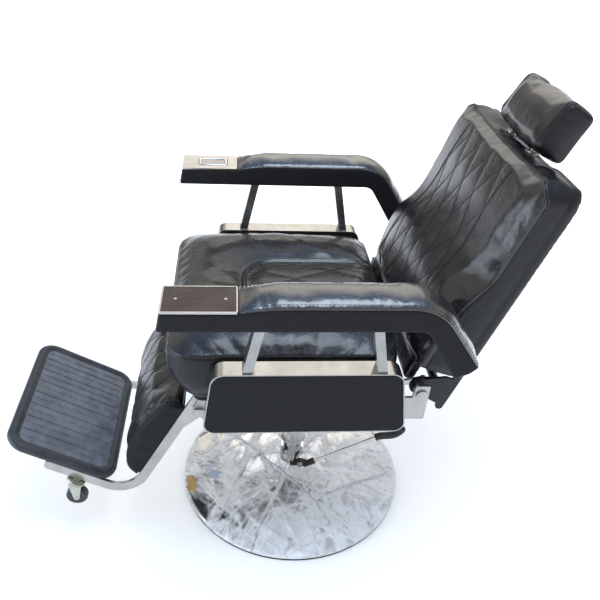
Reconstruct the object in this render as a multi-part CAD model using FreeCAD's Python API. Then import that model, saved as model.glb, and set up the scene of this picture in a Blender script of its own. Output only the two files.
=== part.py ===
"""Hydraulic barber chair, in millimetres.

+Z is up, the chair faces -Y and its left side is +X. The origin is on the floor
at the middle of the round base. The back and the leg rest are modelled as they
stand in the rest pose: the back leans back and the leg rest hangs forward.
"""
import FreeCAD, Part
import math
import os

from FreeCAD import Placement, Rotation, Vector

# Base on the floor
BASE_RADIUS = 290.0
RING_HEIGHT = 6.0
RING_WIDTH = 40.0
SHELL_WALL = 3.0
RIM_HEIGHT = 10.0
RIM_ROUND = 6.0
DISH_RISE = 11.0
HUB_RADIUS = 78.0
HUB_TOP = 36.0
WEIGHT_THICKNESS = 8.0
WEIGHT_MARGIN = 28.0
WEIGHT_BORE = 20.0

# Hydraulic pump, its ram and its lever
FLANGE_RADIUS = 70.0
FLANGE_THICKNESS = 8.0
BOLT_RADIUS = 5.0
BOLT_CIRCLE = 54.0
BOLT_HEAD = 7.0
BOLT_COUNT = 4
PUMP_RADIUS = 31.0
PUMP_TOP = 107.0
CYLINDER_RADIUS = 24.0
CYLINDER_TOP = 336.0
BORE_FLOOR = 112.0
RAM_RADIUS = 17.0
RAM_BOTTOM = 148.0
SLEEVE_RADIUS = 32.0
SLEEVE_WALL = 2.5
SLEEVE_BOTTOM = 138.0
LIP_RADIUS = 34.0
LIP_HEIGHT = 6.0
HEAD_RADIUS = 42.0
HEAD_THICKNESS = 12.0
SPIGOT_RADIUS = 14.0
STUD_RADIUS = 10.0
WASHER_THICKNESS = 2.0
WASHER_RADIUS = 40.0
NUT_ACROSS = 34.0
NUT_HEIGHT = 11.0
RUNNING_FIT = 0.06
SIDE_GAP = 0.3

LEVER_X = 39.0
LEVER_Y = 18.0
LEVER_Z = 76.0
LEVER_PLATE = 12.0
LEVER_PIN_RADIUS = 5.0
LEVER_PIN_HEAD = 8.0
LEVER_PIN_SEAT = 25.0
LEVER_BOSS_RADIUS = 10.0
NOSE_RADIUS = 6.0
PLUNGER_REACH = 20.0
PLUNGER_RADIUS = 4.0
PLUNGER_TOP = 97.5
PLUNGER_GAP = 0.6
HOUSING_RADIUS = 7.0
HOUSING_BOTTOM = 92.0
HOUSING_ROOF = 2.0
ROD_RADIUS = 4.5
ROD_ANGLE = 27.4
ROD_START = 15.0
ROD_DROP = 7.0
ROD_LENGTH = 219.0
SOCKET_RADIUS = 8.5
SOCKET_LENGTH = 30.0
SOCKET_BACK = 2.4
GRIP_RADIUS = 9.5
GRIP_START = 205.0
GRIP_LEAD = 4.0
GRIP_DIP = 24.0
GRIP_DIP_RADIUS = 30.0
GRIP_STRAIGHT = 20.0
GRIP_RISE = 58.0
GRIP_RISE_RADIUS = 40.0

# Welded seat frame and what it sits on
PLATE_SIZE = 200.0
PLATE_THICKNESS = 10.0
TUBE_HEIGHT = 30.0
TUBE_WALL = 2.0
RAIL_WIDTH = 25.0
RAIL_INNER = 196.5
RAIL_FRONT = -222.0
RAIL_REAR = 170.0
CROSS_INNER = 45.0
FRONT_TUBE = -185.0
OUTRIGGER_REACH = 268.0
OUTRIGGER_WIDTH = 30.0
STANDOFF_RADIUS = 10.0
STANDOFF_SPACING = 240.0
STANDOFF_MIDDLE = -30.0
LUG_PLATE = 6.0
LUG_RADIUS = 15.0
LUG_LEAN = 30.0
LUG_RISE = 62.0

# Recline hinge
BACK_TILT = 20.0
BACK_FOOT_Y = 215.0
BACK_FOOT_Z = 500.0
PIVOT_Y = 232.0
PIVOT_Z = 512.0
PIVOT_RADIUS = 8.0
PIVOT_HEAD = 13.0
HINGE_PLATE = 6.0
HINGE_FRONT = 110.0
HINGE_REAR = 248.0
HINGE_BOTTOM = 446.0
HINGE_STEP = 506.0
HINGE_TOP = 536.0
BRACKET_PLATE = 6.0
BRACKET_INNER = 237.5
BRACKET_FOOT = 26.0
BRACKET_TOP = 320.0
BRACKET_CORNER = 8.4
BRACKET_WEB = 58.0
BRACKET_EAR = 20.0
QUADRANT_PLATE = 4.0
QUADRANT_INNER = 254.0
QUADRANT_RADIUS = 54.0
LOCK_RADIUS = 44.0
LOCK_ANGLE = -100.0
LOCK_BOLT = 5.0
RECLINE_BACK = 43.0
RECLINE_UP = 12.0
LOCK_HANDLE = 118.0
LOCK_BAR = 4.0
LOCK_KNOB = 9.0
LOCK_KNOB_LENGTH = 44.0
LOCK_RISE = 0.12
LINK_DROP = 36.0
LINK_TRAIL = 30.0
LINK_PIN = 5.0
LINK_WIDTH = 14.0
LINK_THICKNESS = 6.0

# Seat cushion
BOARD_THICKNESS = 12.0
BOARD_MARGIN = 20.0
SEAT_FRONT = -300.0
SEAT_REAR = 183.0
SEAT_HALF = 265.0
SEAT_CORNER = 62.0
SEAT_REAR_CORNER = 58.0
SEAT_UNDERCUT = 36.0
SEAT_TUCK = 14.0
BOXING_STEPS = 5
BOXING_ROUND = 3.4
SEAM_HEIGHT = 602.0
SEAT_CROWN = 36.0
CROWN_REACH = 104.0
CROWN_STEPS = 5
CROWN_SLOPE = 0.35
CROWN_ROUNDING = 0.55
PANEL_HALF = 90.0
PANEL_FRONT = -134.0
PANEL_DEPTH = 17.0
PANEL_BEVEL = 36.0
PANEL_CORNER = 78.0
PANEL_RISE = 4.0

# Side boxes under the arms
BOX_INNER = 279.0
BOX_OUTER = 322.0
BOX_TOP = 608.0
BOX_BOTTOM = 457.0
BOX_FRONT_TOP = -203.0
BOX_FRONT_BOTTOM = -224.0
BOX_REAR_TOP = 172.0
BOX_REAR_BOTTOM = 193.0
BAND_WALL = 2.5
PANEL_THICKNESS = 6.0

# Arms
ARM_INNER = 275.5
ARM_OUTER = 363.5
ARM_FRONT = -297.0
ARM_UNDER = 736.0
ARM_PLATE_DEPTH = 44.0
ARM_DEPTH = 51.0
PLATE_REAR = -153.0
PLATE_SINK = 4.0
ARM_KNEE = 205.0
ARM_KNEE_ROUND = 95.0
ARM_TAIL = (300.0, -82.0)
ARM_ELBOW = 190.0
ARM_HEEL = (257.0, -108.0)
ARM_TOE = (285.0, -96.0)
PAD_LEVEL_END = 20.0
PAD_CROWN = 13.0
POST_INNER = 284.0
POST_OUTER = 318.0
POST_DEPTH = 19.5
POST_WALL = 2.0
FRONT_POST = -134.5
REAR_POST = 129.5
FRONT_LEAN = 0.216
REAR_LEAN = -0.184
FRAME_BORDER = 3.0
LID_LENGTH = 72.0
LID_WIDTH = 38.0
LID_THICKNESS = 2.4
LID_MIDDLE_Y = -214.0
LID_GAP = 0.6
BIN_DEPTH = 28.0
BIN_WALL = 1.2
TRUNNION_RADIUS = 1.0
TRUNNION_LENGTH = 4.0

# Backrest
BACK_HALF = 255.0
BACK_REAR = 88.0
BACK_BOARD = 15.0
BOARD_INSET = 6.0
BACK_BOTTOM = 66.0
BACK_TOP = 517.0
BACK_SHOULDER = 46.0
TOP_TUCK = 5.0
TOP_FALL = 8.0
LUMBAR = 29.0
LUMBAR_TOP = 200.0
LUMBAR_FADE = 325.0
SHOULDER_STEPS = 6
BACK_LEVELS = 9
BACK_CROWN = 16.0
TAIL_HALF = 228.0
TAIL_BOTTOM = 14.0
TAIL_FRONT = -27.0
TAIL_REAR = 2.0
GUIDE_RADIUS = 8.0
HEAD_POST_RADIUS = 5.0
HEAD_POST_X = 60.0
HEAD_POST_DEPTH = 48.0
HEAD_POST_BOTTOM = 400.0
HEAD_POST_TOP = 602.0
GUIDE_BOTTOM = 461.0
COLLAR_RIM = 4.0
HEAD_HALF = 118.0
END_SHARES = [-1.0, -0.94, -0.6, -0.3, 0.0, 0.3, 0.6, 0.94, 1.0]
END_SHARPNESS = 24
HEAD_FRONT_FOOT = (16.0, 536.0)
HEAD_FRONT_TOP = (36.0, 643.0)
HEAD_REAR_TOP = (101.0, 630.0)
HEAD_REAR_FOOT = (90.0, 519.0)
HEAD_ROUND = 18.0
HEAD_REAR_ROUND = 11.0

# Leg rest
LEG_TILT = 29.0
LEG_FOOT_Y = -215.0
LEG_FOOT_Z = 468.0
LEG_PIVOT_Y = -235.0
LEG_PIVOT_Z = 404.0
LEG_PIN_RADIUS = 7.0
LEG_PIN_HEAD = 10.0
LEG_EYE = 18.0
LEG_CROSS_RADIUS = 8.0
LEG_CROSS_DROP = 200.0
BAR_INNER = 181.0
BAR_PLATE = 8.0
BAR_FRONT = 15.0
BAR_WIDTH = 23.0
BAR_TOP = 10.0
BAR_BEND = 64.0
BAR_BOTTOM = 380.0
BAR_TIP = 219.0
CALF_HALF = 202.0
CALF_TOP = 68.0
CALF_BOTTOM = 312.0
CALF_BOARD = 7.0
CALF_DEPTH = 40.0
CALF_SWELL = 18.0
CALF_TOP_ROUND = 24.0
CALF_FOOT_ROUND = 32.0
TRAY_HALF = 182.0
TRAY_THICKNESS = 3.5
MAT_HALF = 192.0
MAT_REAR = 57.0
MAT_FRONT = 321.0
MAT_CORNER = 46.0
MAT_THICKNESS = 15.0
GROOVE_COUNT = 14
GROOVE_PITCH = 21.0
GROOVE_DEPTH = 2.0
GROOVE_WIDTH = 3.0
FIELD_DEPTH = 1.5
FIELD_MARGIN = 28.0

# Casters under the foot plate
CASTER_OUT = 135.0
CASTER_TRAIL = 21.0
CASTER_DROP = 50.5
WHEEL_RADIUS = 25.0
WHEEL_WIDTH = 20.0
TREAD_ROUND = 5.0
CUP_RADIUS = 20.0
CUP_HEIGHT = 9.0
CUP_SPACER = 2.0
STEM_RADIUS = 5.0
AXLE_RADIUS = 3.0
FORK_PLATE = 2.5
FORK_GAP = 1.0
FORK_ROOT = 15.0
FORK_TIP = 7.0

SIDES = {"left": 1, "right": -1}


def box(x0, x1, y0, y1, z0, z1):
    """Block between two corners."""
    return Part.makeBox(x1 - x0, y1 - y0, z1 - z0, Vector(x0, y0, z0))


def rod_z(radius, x, y, z0, z1):
    """Upright round bar."""
    return Part.makeCylinder(radius, z1 - z0, Vector(x, y, z0), Vector(0, 0, 1))


def rod_x(radius, x0, x1, y, z):
    """Round bar along X."""
    return Part.makeCylinder(radius, x1 - x0, Vector(x0, y, z), Vector(1, 0, 0))


def span(side, near, far):
    """Lowest and highest X of a piece that lies between two distances from the middle."""
    return (near, far) if side > 0 else (-far, -near)


def fillet_arc(before, corner, after, radius):
    """Start, middle and end of the arc that rounds a corner in a plane."""
    a = (before - corner).normalize()
    b = (after - corner).normalize()
    half = math.acos(max(-1.0, min(1.0, a.dot(b)))) / 2
    reach = radius / math.tan(half)
    centre = corner + (a + b).normalize() * (radius / math.sin(half))
    start = corner + a * reach
    end = corner + b * reach
    middle = centre + (corner - centre).normalize() * radius
    return start, middle, end


def rounded_wire(points, radii):
    """Closed wire through points whose corners are rounded by radii, 0 for a sharp one."""
    count = len(points)
    spots = []
    for i, (point, radius) in enumerate(zip(points, radii)):
        before = points[i - 1]
        after = points[(i + 1) % count]
        spots.append(fillet_arc(before, point, after, radius) if radius > 0 else (point,))
    edges = []
    for i, spot in enumerate(spots):
        if len(spot) == 3:
            edges.append(Part.Arc(*spot).toShape())
        end = spot[-1]
        start = spots[(i + 1) % count][0]
        if (start - end).Length > 1e-6:
            edges.append(Part.LineSegment(end, start).toShape())
    return Part.Wire(edges)


def plate_x(outline, radii, x0, x1):
    """Plate whose outline is given as (y, z) pairs, standing between x0 and x1."""
    points = [Vector(x0, y, z) for y, z in outline]
    if isinstance(radii, (int, float)):
        radii = [radii] * len(points)
    face = Part.Face(rounded_wire(points, radii))
    return face.extrude(Vector(x1 - x0, 0, 0))


def plate_z(outline, radii, z0, z1):
    """Plate whose outline is given as (x, y) pairs, lying between z0 and z1."""
    points = [Vector(x, y, z0) for x, y in outline]
    if isinstance(radii, (int, float)):
        radii = [radii] * len(points)
    face = Part.Face(rounded_wire(points, radii))
    return face.extrude(Vector(0, 0, z1 - z0))


def rectangle(a0, a1, b0, b1):
    """Four corners, turning the same way each time."""
    return [(a0, b0), (a1, b0), (a1, b1), (a0, b1)]


def inset(outline, distance):
    """Outline whose straight sides are moved inwards by a distance."""
    moved = []
    count = len(outline)
    area = sum(outline[i][0] * outline[(i + 1) % count][1] - outline[(i + 1) % count][0] * outline[i][1]
               for i in range(count))
    turn = 1 if area > 0 else -1
    lines = []
    for i in range(count):
        (y0, z0), (y1, z1) = outline[i], outline[(i + 1) % count]
        length = math.hypot(y1 - y0, z1 - z0)
        dy, dz = (y1 - y0) / length, (z1 - z0) / length
        lines.append((y0 - dz * distance * turn, z0 + dy * distance * turn, dy, dz))
    for i in range(count):
        ya, za, da, ea = lines[i - 1]
        yb, zb, db, eb = lines[i]
        cross = da * eb - ea * db
        t = ((yb - ya) * eb - (zb - za) * db) / cross
        moved.append((ya + da * t, za + ea * t))
    return moved


def strap(points, radii, x0, x1):
    """Flat link between two round ends, in the plane across X."""
    (ya, za), (yb, zb) = points
    ra, rb = radii
    length = math.hypot(yb - ya, zb - za)
    along = Vector(0, (yb - ya) / length, (zb - za) / length)
    lean = math.asin((ra - rb) / length)
    sides = []
    for turn in (1, -1):
        normal = Vector(0, -along.z * turn, along.y * turn)
        spoke = normal * math.cos(lean) + along * math.sin(lean)
        sides.append((Vector(x0, ya, za) + spoke * ra, Vector(x0, yb, zb) + spoke * rb))
    (a1, b1), (a2, b2) = sides
    end_b = Vector(x0, yb, zb) + along * rb
    end_a = Vector(x0, ya, za) - along * ra
    edges = [Part.LineSegment(a1, b1).toShape(), Part.Arc(b1, end_b, b2).toShape(),
             Part.LineSegment(b2, a2).toShape(), Part.Arc(a2, end_a, a1).toShape()]
    return Part.Face(Part.Wire(edges)).extrude(Vector(x1 - x0, 0, 0))


def turned(profile):
    """Solid of revolution about Z from (radius, height) items; two more numbers make an arc."""
    edges = []
    count = len(profile)
    for i in range(count):
        start = profile[i]
        end = profile[(i + 1) % count]
        a = Vector(start[0], 0, start[1])
        b = Vector(end[0], 0, end[1])
        if len(start) == 4:
            edges.append(Part.Arc(a, Vector(start[2], 0, start[3]), b).toShape())
        else:
            edges.append(Part.LineSegment(a, b).toShape())
    face = Part.Face(Part.Wire(edges))
    return face.revolve(Vector(0, 0, 0), Vector(0, 0, 1), 360)


def hexagon(across, x, y, z0, z1):
    """Six-sided head or nut."""
    radius = across / math.sqrt(3)
    corners = [(x + radius * math.cos(math.radians(60 * i)), y + radius * math.sin(math.radians(60 * i)))
               for i in range(6)]
    return plate_z(corners, 0, z0, z1)


def on_back(shape):
    """Turns a piece drawn upright into the leaning back's place."""
    return placed(shape, BACK_FOOT_Y, BACK_FOOT_Z, BACK_TILT)


def on_leg(shape):
    """Turns a piece drawn hanging straight down into the leg rest's place."""
    return placed(shape, LEG_FOOT_Y, LEG_FOOT_Z, LEG_TILT)


def placed(shape, y, z, tilt):
    """Leans a shape rearwards about X and moves its foot to a point."""
    moved = shape.copy()
    lean = Placement(Vector(0, y, z), Rotation(Vector(1, 0, 0), -tilt))
    moved.Placement = lean.multiply(moved.Placement)
    return moved


def local(y, z, foot_y, foot_z, tilt):
    """A point of the side view, seen in the leaning frame of the back or the leg rest."""
    angle = math.radians(tilt)
    dy, dz = y - foot_y, z - foot_z
    return dy * math.cos(angle) - dz * math.sin(angle), dy * math.sin(angle) + dz * math.cos(angle)


def back_local(y, z):
    """A point of the side view in the back's own frame."""
    return local(y, z, BACK_FOOT_Y, BACK_FOOT_Z, BACK_TILT)


def leg_local(y, z):
    """A point of the side view in the leg rest's own frame."""
    return local(y, z, LEG_FOOT_Y, LEG_FOOT_Z, LEG_TILT)


def save(name, *shapes):
    """Writes the solids of one node and prints what they measure."""
    solids = [solid for shape in shapes for solid in shape.Solids]
    result = solids[0] if len(solids) == 1 else Part.makeCompound(solids)
    if not result.isValid() or min(solid.Volume for solid in solids) <= 0:
        raise ValueError(name + " is not a sound solid")
    result.exportStep("parts/" + name + ".step")
    size = result.optimalBoundingBox(False)
    print(name, len(solids), round(result.Volume / 1000, 1), "cm3",
          [round(v) for v in (size.XMin, size.XMax, size.YMin, size.YMax, size.ZMin, size.ZMax)])


# Heights that follow from the pieces stacked below
HEAD_TOP = 436.0
PLATE_BOTTOM = HEAD_TOP + WASHER_THICKNESS
TUBE_BOTTOM = PLATE_BOTTOM + PLATE_THICKNESS
TUBE_TOP = TUBE_BOTTOM + TUBE_HEIGHT
COLLAR_SEAT = BACK_TOP - TOP_FALL * (HEAD_POST_DEPTH - GUIDE_RADIUS - COLLAR_RIM) / BACK_REAR + SIDE_GAP
ARM_PLATE_TOP = ARM_UNDER + ARM_PLATE_DEPTH
ARM_SEAM = ARM_UNDER + ARM_DEPTH
PLATE_REST = ARM_PLATE_TOP - PLATE_SINK
CUSHION_BOTTOM = TUBE_TOP + BOARD_THICKNESS
BRACKET_OUTER = BRACKET_INNER + BRACKET_PLATE
LINK_INNER = BAR_INNER - LINK_THICKNESS - 2.0
RAIL_OUTER = RAIL_INNER + RAIL_WIDTH
WEIGHT_TOP = RING_HEIGHT + WEIGHT_THICKNESS
FLANGE_TOP = WEIGHT_TOP + FLANGE_THICKNESS
LUG_INNER = RAIL_INNER - LUG_PLATE
BOX_OUTLINE = [(BOX_FRONT_TOP, BOX_TOP), (BOX_FRONT_BOTTOM, BOX_BOTTOM),
               (BOX_REAR_BOTTOM, BOX_BOTTOM), (BOX_REAR_TOP, BOX_TOP)]
BOX_RADII = [30.0, 24.0, 22.0, 26.0]


def base_shell():
    """Spun steel dish that covers the base, open in its middle for the pump."""
    rim = RING_HEIGHT + RIM_HEIGHT
    middle = (BASE_RADIUS + HUB_RADIUS) / 2
    shoulder = (rim + HUB_TOP) / 2 + DISH_RISE / 2
    inner = BASE_RADIUS - SHELL_WALL
    bore = PUMP_RADIUS + SIDE_GAP
    corner = RIM_ROUND * (1 - math.sqrt(0.5))
    return turned([
        (BASE_RADIUS, RING_HEIGHT),
        (BASE_RADIUS, rim - RIM_ROUND, BASE_RADIUS - corner, rim - corner),
        (BASE_RADIUS - RIM_ROUND, rim, middle, shoulder),
        (HUB_RADIUS, HUB_TOP),
        (bore, HUB_TOP),
        (bore, HUB_TOP - SHELL_WALL),
        (HUB_RADIUS, HUB_TOP - SHELL_WALL, middle, shoulder - SHELL_WALL),
        (inner - RIM_ROUND, rim - SHELL_WALL),
        (inner, RING_HEIGHT)])


def base_weight():
    """Heavy steel disc under the dish, resting on the rubber ring."""
    disc = rod_z(BASE_RADIUS - WEIGHT_MARGIN, 0, 0, RING_HEIGHT, WEIGHT_TOP)
    return bolt_holes(disc.cut(rod_z(WEIGHT_BORE, 0, 0, 0, WEIGHT_TOP + 1)))


def base_ring():
    """Rubber ring that the rim and the weight stand on."""
    inner = BASE_RADIUS - RING_WIDTH
    return rod_z(BASE_RADIUS, 0, 0, 0, RING_HEIGHT).cut(rod_z(inner, 0, 0, -1, RING_HEIGHT + 1))


def bolt_places():
    """Middles of the flange bolts."""
    for i in range(BOLT_COUNT):
        angle = math.radians(45 + 360 / BOLT_COUNT * i)
        yield BOLT_CIRCLE * math.cos(angle), BOLT_CIRCLE * math.sin(angle)


def bolt_holes(shape):
    """Cuts the flange bolts' holes."""
    for x, y in bolt_places():
        shape = shape.cut(rod_z(BOLT_RADIUS, x, y, 0, FLANGE_TOP + 1))
    return shape


def base_bolts():
    """Bolts that hold the pump's flange to the weight, under the dish."""
    return [rod_z(BOLT_RADIUS, x, y, RING_HEIGHT, FLANGE_TOP).fuse(
        hexagon(BOLT_RADIUS * 3.2, x, y, FLANGE_TOP, FLANGE_TOP + BOLT_HEAD)) for x, y in bolt_places()]


def pump_body():
    """Pump casting with its flange, its cylinder, the lever's boss and the small piston's housing."""
    shape = turned([(0, WEIGHT_TOP), (FLANGE_RADIUS, WEIGHT_TOP), (FLANGE_RADIUS, FLANGE_TOP),
                    (PUMP_RADIUS, FLANGE_TOP), (PUMP_RADIUS, PUMP_TOP), (CYLINDER_RADIUS, PUMP_TOP),
                    (CYLINDER_RADIUS, CYLINDER_TOP), (0, CYLINDER_TOP)])
    boss_end = LEVER_X - LEVER_PLATE / 2 - SIDE_GAP
    shape = shape.fuse(rod_x(LEVER_BOSS_RADIUS, 0, boss_end, LEVER_Y, LEVER_Z))
    y = LEVER_Y - PLUNGER_REACH
    housing = rod_z(HOUSING_RADIUS, LEVER_X, y, HOUSING_BOTTOM, PUMP_TOP)
    web = box(0, LEVER_X, y - HOUSING_RADIUS, y + HOUSING_RADIUS, HOUSING_BOTTOM, PUMP_TOP)
    shape = shape.fuse(housing).fuse(web).removeSplitter()
    shape = shape.cut(rod_z(RAM_RADIUS + RUNNING_FIT, 0, 0, BORE_FLOOR, CYLINDER_TOP + 1))
    roof = PUMP_TOP - HOUSING_ROOF
    shape = shape.cut(rod_z(PLUNGER_RADIUS + RUNNING_FIT, LEVER_X, y, HOUSING_BOTTOM - 1, roof))
    shape = shape.cut(rod_x(LEVER_PIN_RADIUS, LEVER_X - LEVER_PIN_SEAT, LEVER_X, LEVER_Y, LEVER_Z))
    return bolt_holes(shape)


def lever_pin():
    """Headed pin that the lever turns on."""
    near = LEVER_X + LEVER_PLATE / 2 + SIDE_GAP
    return rod_x(LEVER_PIN_RADIUS, LEVER_X - LEVER_PIN_SEAT, near, LEVER_Y, LEVER_Z).fuse(
        rod_x(LEVER_PIN_HEAD, near, near + 4, LEVER_Y, LEVER_Z))


def rod_line():
    """Direction of the lever rod."""
    return Vector(0, math.cos(math.radians(ROD_ANGLE)), math.sin(math.radians(ROD_ANGLE)))


def rod_point(distance):
    """Point on the lever rod's line, measured from beside the pivot."""
    return Vector(LEVER_X, LEVER_Y + ROD_START, LEVER_Z - ROD_DROP) + rod_line() * distance


def pump_fork():
    """Black lever piece: pivot eye, nose under the plunger and rod socket."""
    x0, x1 = LEVER_X - LEVER_PLATE / 2, LEVER_X + LEVER_PLATE / 2
    tip = (LEVER_Y - PLUNGER_REACH, LEVER_Z)
    nose = strap([(LEVER_Y, LEVER_Z), tip], (NOSE_RADIUS, NOSE_RADIUS), x0, x1)
    eye = rod_x(LEVER_BOSS_RADIUS, x0, x1, LEVER_Y, LEVER_Z)
    bottom = LEVER_Z - LEVER_BOSS_RADIUS
    bridge = box(x0, x1, LEVER_Y, LEVER_Y + ROD_START + SOCKET_BACK, bottom, LEVER_Z + NOSE_RADIUS)
    socket = Part.makeCylinder(SOCKET_RADIUS, SOCKET_LENGTH, rod_point(-SOCKET_BACK), rod_line())
    shape = eye.fuse(nose).fuse(bridge).fuse(socket).removeSplitter()
    shape = shape.cut(rod_x(LEVER_PIN_RADIUS + RUNNING_FIT, x0 - 1, x1 + 1, LEVER_Y, LEVER_Z))
    return shape.cut(pump_rod())


def pump_rod():
    """Chrome rod of the lever."""
    return Part.makeCylinder(ROD_RADIUS, ROD_LENGTH, rod_point(0), rod_line())


def bend(start, heading, radius, turn):
    """Arc in the side view from a point and heading in degrees: its edge, end and new heading."""
    sign = 1 if turn > 0 else -1
    side = math.radians(heading + 90 * sign)
    centre = start + Vector(0, math.cos(side), math.sin(side)) * radius
    spots = []
    for share in (0.5, 1.0):
        angle = side + math.pi + math.radians(turn * share)
        spots.append(centre + Vector(0, math.cos(angle), math.sin(angle)) * radius)
    return Part.Arc(start, spots[0], spots[1]).toShape(), spots[1], heading + turn


def pump_grip():
    """Rubber grip that dips below the rod's line and curves up at its end."""
    start = rod_point(GRIP_START)
    a = rod_point(GRIP_START + GRIP_LEAD)
    dip, b, heading = bend(a, ROD_ANGLE, GRIP_DIP_RADIUS, -GRIP_DIP)
    angle = math.radians(heading)
    c = b + Vector(0, math.cos(angle), math.sin(angle)) * GRIP_STRAIGHT
    rise, end, heading = bend(c, heading, GRIP_RISE_RADIUS, GRIP_RISE)
    path = Part.Wire([Part.LineSegment(start, a).toShape(), dip, Part.LineSegment(b, c).toShape(), rise])
    ring = Part.Wire(Part.makeCircle(GRIP_RADIUS, start, rod_line()))
    shape = path.makePipeShell([ring], True, False)
    return shape.fuse(Part.makeSphere(GRIP_RADIUS, end)).cut(pump_rod())


def pump_plunger():
    """Small piston that the lever's nose drives."""
    bottom = LEVER_Z + NOSE_RADIUS + PLUNGER_GAP
    return rod_z(PLUNGER_RADIUS, LEVER_X, LEVER_Y - PLUNGER_REACH, bottom, PLUNGER_TOP)


def pump_ram():
    """Ram with the round head and the spigot that the seat turns on."""
    plate_top = PLATE_BOTTOM + PLATE_THICKNESS + SIDE_GAP
    shape = rod_z(RAM_RADIUS, 0, 0, RAM_BOTTOM, HEAD_TOP - HEAD_THICKNESS)
    shape = shape.fuse(rod_z(HEAD_RADIUS, 0, 0, HEAD_TOP - HEAD_THICKNESS, HEAD_TOP))
    shape = shape.fuse(rod_z(SPIGOT_RADIUS, 0, 0, HEAD_TOP, plate_top))
    return shape.fuse(rod_z(STUD_RADIUS, 0, 0, plate_top, plate_top + NUT_HEIGHT + 2)).removeSplitter()


def column_sleeve():
    """Chrome tube that hides the cylinder."""
    top = HEAD_TOP - HEAD_THICKNESS
    inner = SLEEVE_RADIUS - SLEEVE_WALL
    lip = SLEEVE_BOTTOM + LIP_HEIGHT
    return turned([(inner, SLEEVE_BOTTOM), (LIP_RADIUS, SLEEVE_BOTTOM), (LIP_RADIUS, lip),
                   (SLEEVE_RADIUS, lip), (SLEEVE_RADIUS, top), (inner, top)])


def thrust_washer():
    """Flat ring that the seat turns on."""
    return rod_z(WASHER_RADIUS, 0, 0, HEAD_TOP, PLATE_BOTTOM).cut(
        rod_z(SPIGOT_RADIUS + SIDE_GAP, 0, 0, HEAD_TOP - 1, PLATE_BOTTOM + 1))


def swivel_nut():
    """Nut that keeps the seat on its spigot."""
    bottom = PLATE_BOTTOM + PLATE_THICKNESS + SIDE_GAP
    return hexagon(NUT_ACROSS, 0, 0, bottom, bottom + NUT_HEIGHT).cut(
        rod_z(STUD_RADIUS, 0, 0, bottom - 1, bottom + NUT_HEIGHT + 1))


def swivel_plate():
    """Steel plate under the seat frame, bored for the spigot."""
    half = PLATE_SIZE / 2
    plate = plate_z(rectangle(-half, half, -half, half), 12, PLATE_BOTTOM, TUBE_BOTTOM)
    return plate.cut(rod_z(SPIGOT_RADIUS + RUNNING_FIT, 0, 0, PLATE_BOTTOM - 1, TUBE_BOTTOM + 1))


def seat_rail(side):
    """Open square tube along one side of the seat frame, with its outrigger and standoffs."""
    shape = box(*span(side, RAIL_INNER, RAIL_OUTER), RAIL_FRONT, RAIL_REAR, TUBE_BOTTOM, TUBE_TOP)
    arm = box(*span(side, RAIL_OUTER, OUTRIGGER_REACH), RAIL_REAR - OUTRIGGER_WIDTH, RAIL_REAR,
              TUBE_BOTTOM, TUBE_TOP)
    shape = shape.fuse(arm)
    for step in (-1, 1):
        y = STANDOFF_MIDDLE + step * STANDOFF_SPACING / 2
        shape = shape.fuse(rod_x(STANDOFF_RADIUS, *span(side, RAIL_OUTER - TUBE_WALL, BOX_INNER), y,
                                 (TUBE_BOTTOM + TUBE_TOP) / 2))
    return shape


def leg_lug(side):
    """Lug that the leg rest hangs on, welded to the rail's inner face."""
    x0, x1 = span(side, LUG_INNER, RAIL_INNER)
    top = (LEG_PIVOT_Y + LUG_LEAN, LEG_PIVOT_Z + LUG_RISE)
    plate = strap([(LEG_PIVOT_Y, LEG_PIVOT_Z), top], (LUG_RADIUS, LUG_RADIUS - 3), x0, x1)
    return plate.cut(rod_x(LEG_PIN_RADIUS, x0 - 1, x1 + 1, LEG_PIVOT_Y, LEG_PIVOT_Z))


def seat_frame():
    """Welded frame: two rails, three cross tubes, outriggers, standoffs and lugs."""
    shape = seat_rail(1).fuse(seat_rail(-1))
    crosses = [(-CROSS_INNER - TUBE_HEIGHT, -CROSS_INNER), (CROSS_INNER, CROSS_INNER + TUBE_HEIGHT),
               (FRONT_TUBE, FRONT_TUBE + RAIL_WIDTH)]
    for y0, y1 in crosses:
        shape = shape.fuse(box(-RAIL_INNER, RAIL_INNER, y0, y1, TUBE_BOTTOM, TUBE_TOP))
    shape = shape.removeSplitter()
    for side in SIDES.values():
        x0, x1 = span(side, RAIL_INNER + TUBE_WALL, RAIL_OUTER - TUBE_WALL)
        hollow = box(x0, x1, RAIL_FRONT - 1, RAIL_REAR + 1,
                     TUBE_BOTTOM + TUBE_WALL, TUBE_TOP - TUBE_WALL)
        shape = shape.cut(hollow).fuse(leg_lug(side))
    return shape.removeSplitter()


def seat_board():
    """Plywood board under the seat cushion."""
    half = SEAT_HALF - BOARD_MARGIN
    outline = rectangle(-half, half, SEAT_FRONT + SEAT_UNDERCUT + BOARD_MARGIN, RAIL_REAR)
    return plate_z(outline, BOARD_MARGIN, TUBE_TOP, CUSHION_BOTTOM)


def hinge_plate(side):
    """Plate at the rear of the frame that carries the back's pivot."""
    x0, x1 = span(side, OUTRIGGER_REACH, OUTRIGGER_REACH + HINGE_PLATE)
    outline = [(HINGE_FRONT, HINGE_BOTTOM + 4), (HINGE_REAR - 3, HINGE_BOTTOM), (HINGE_REAR, HINGE_TOP),
               (PIVOT_Y - 15, HINGE_TOP), (PIVOT_Y - 19, HINGE_STEP), (HINGE_FRONT, HINGE_STEP)]
    shape = plate_x(outline, [10, 3, 4, 4, 2, 10], x0, x1)
    shape = shape.cut(rod_x(PIVOT_RADIUS, x0 - 1, x1 + 1, PIVOT_Y, PIVOT_Z))
    if side < 0:
        y, z = lock_place()
        shape = shape.cut(rod_x(LOCK_BOLT + RUNNING_FIT, x0 - 1, x1 + 1, y, z))
    return shape


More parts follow.
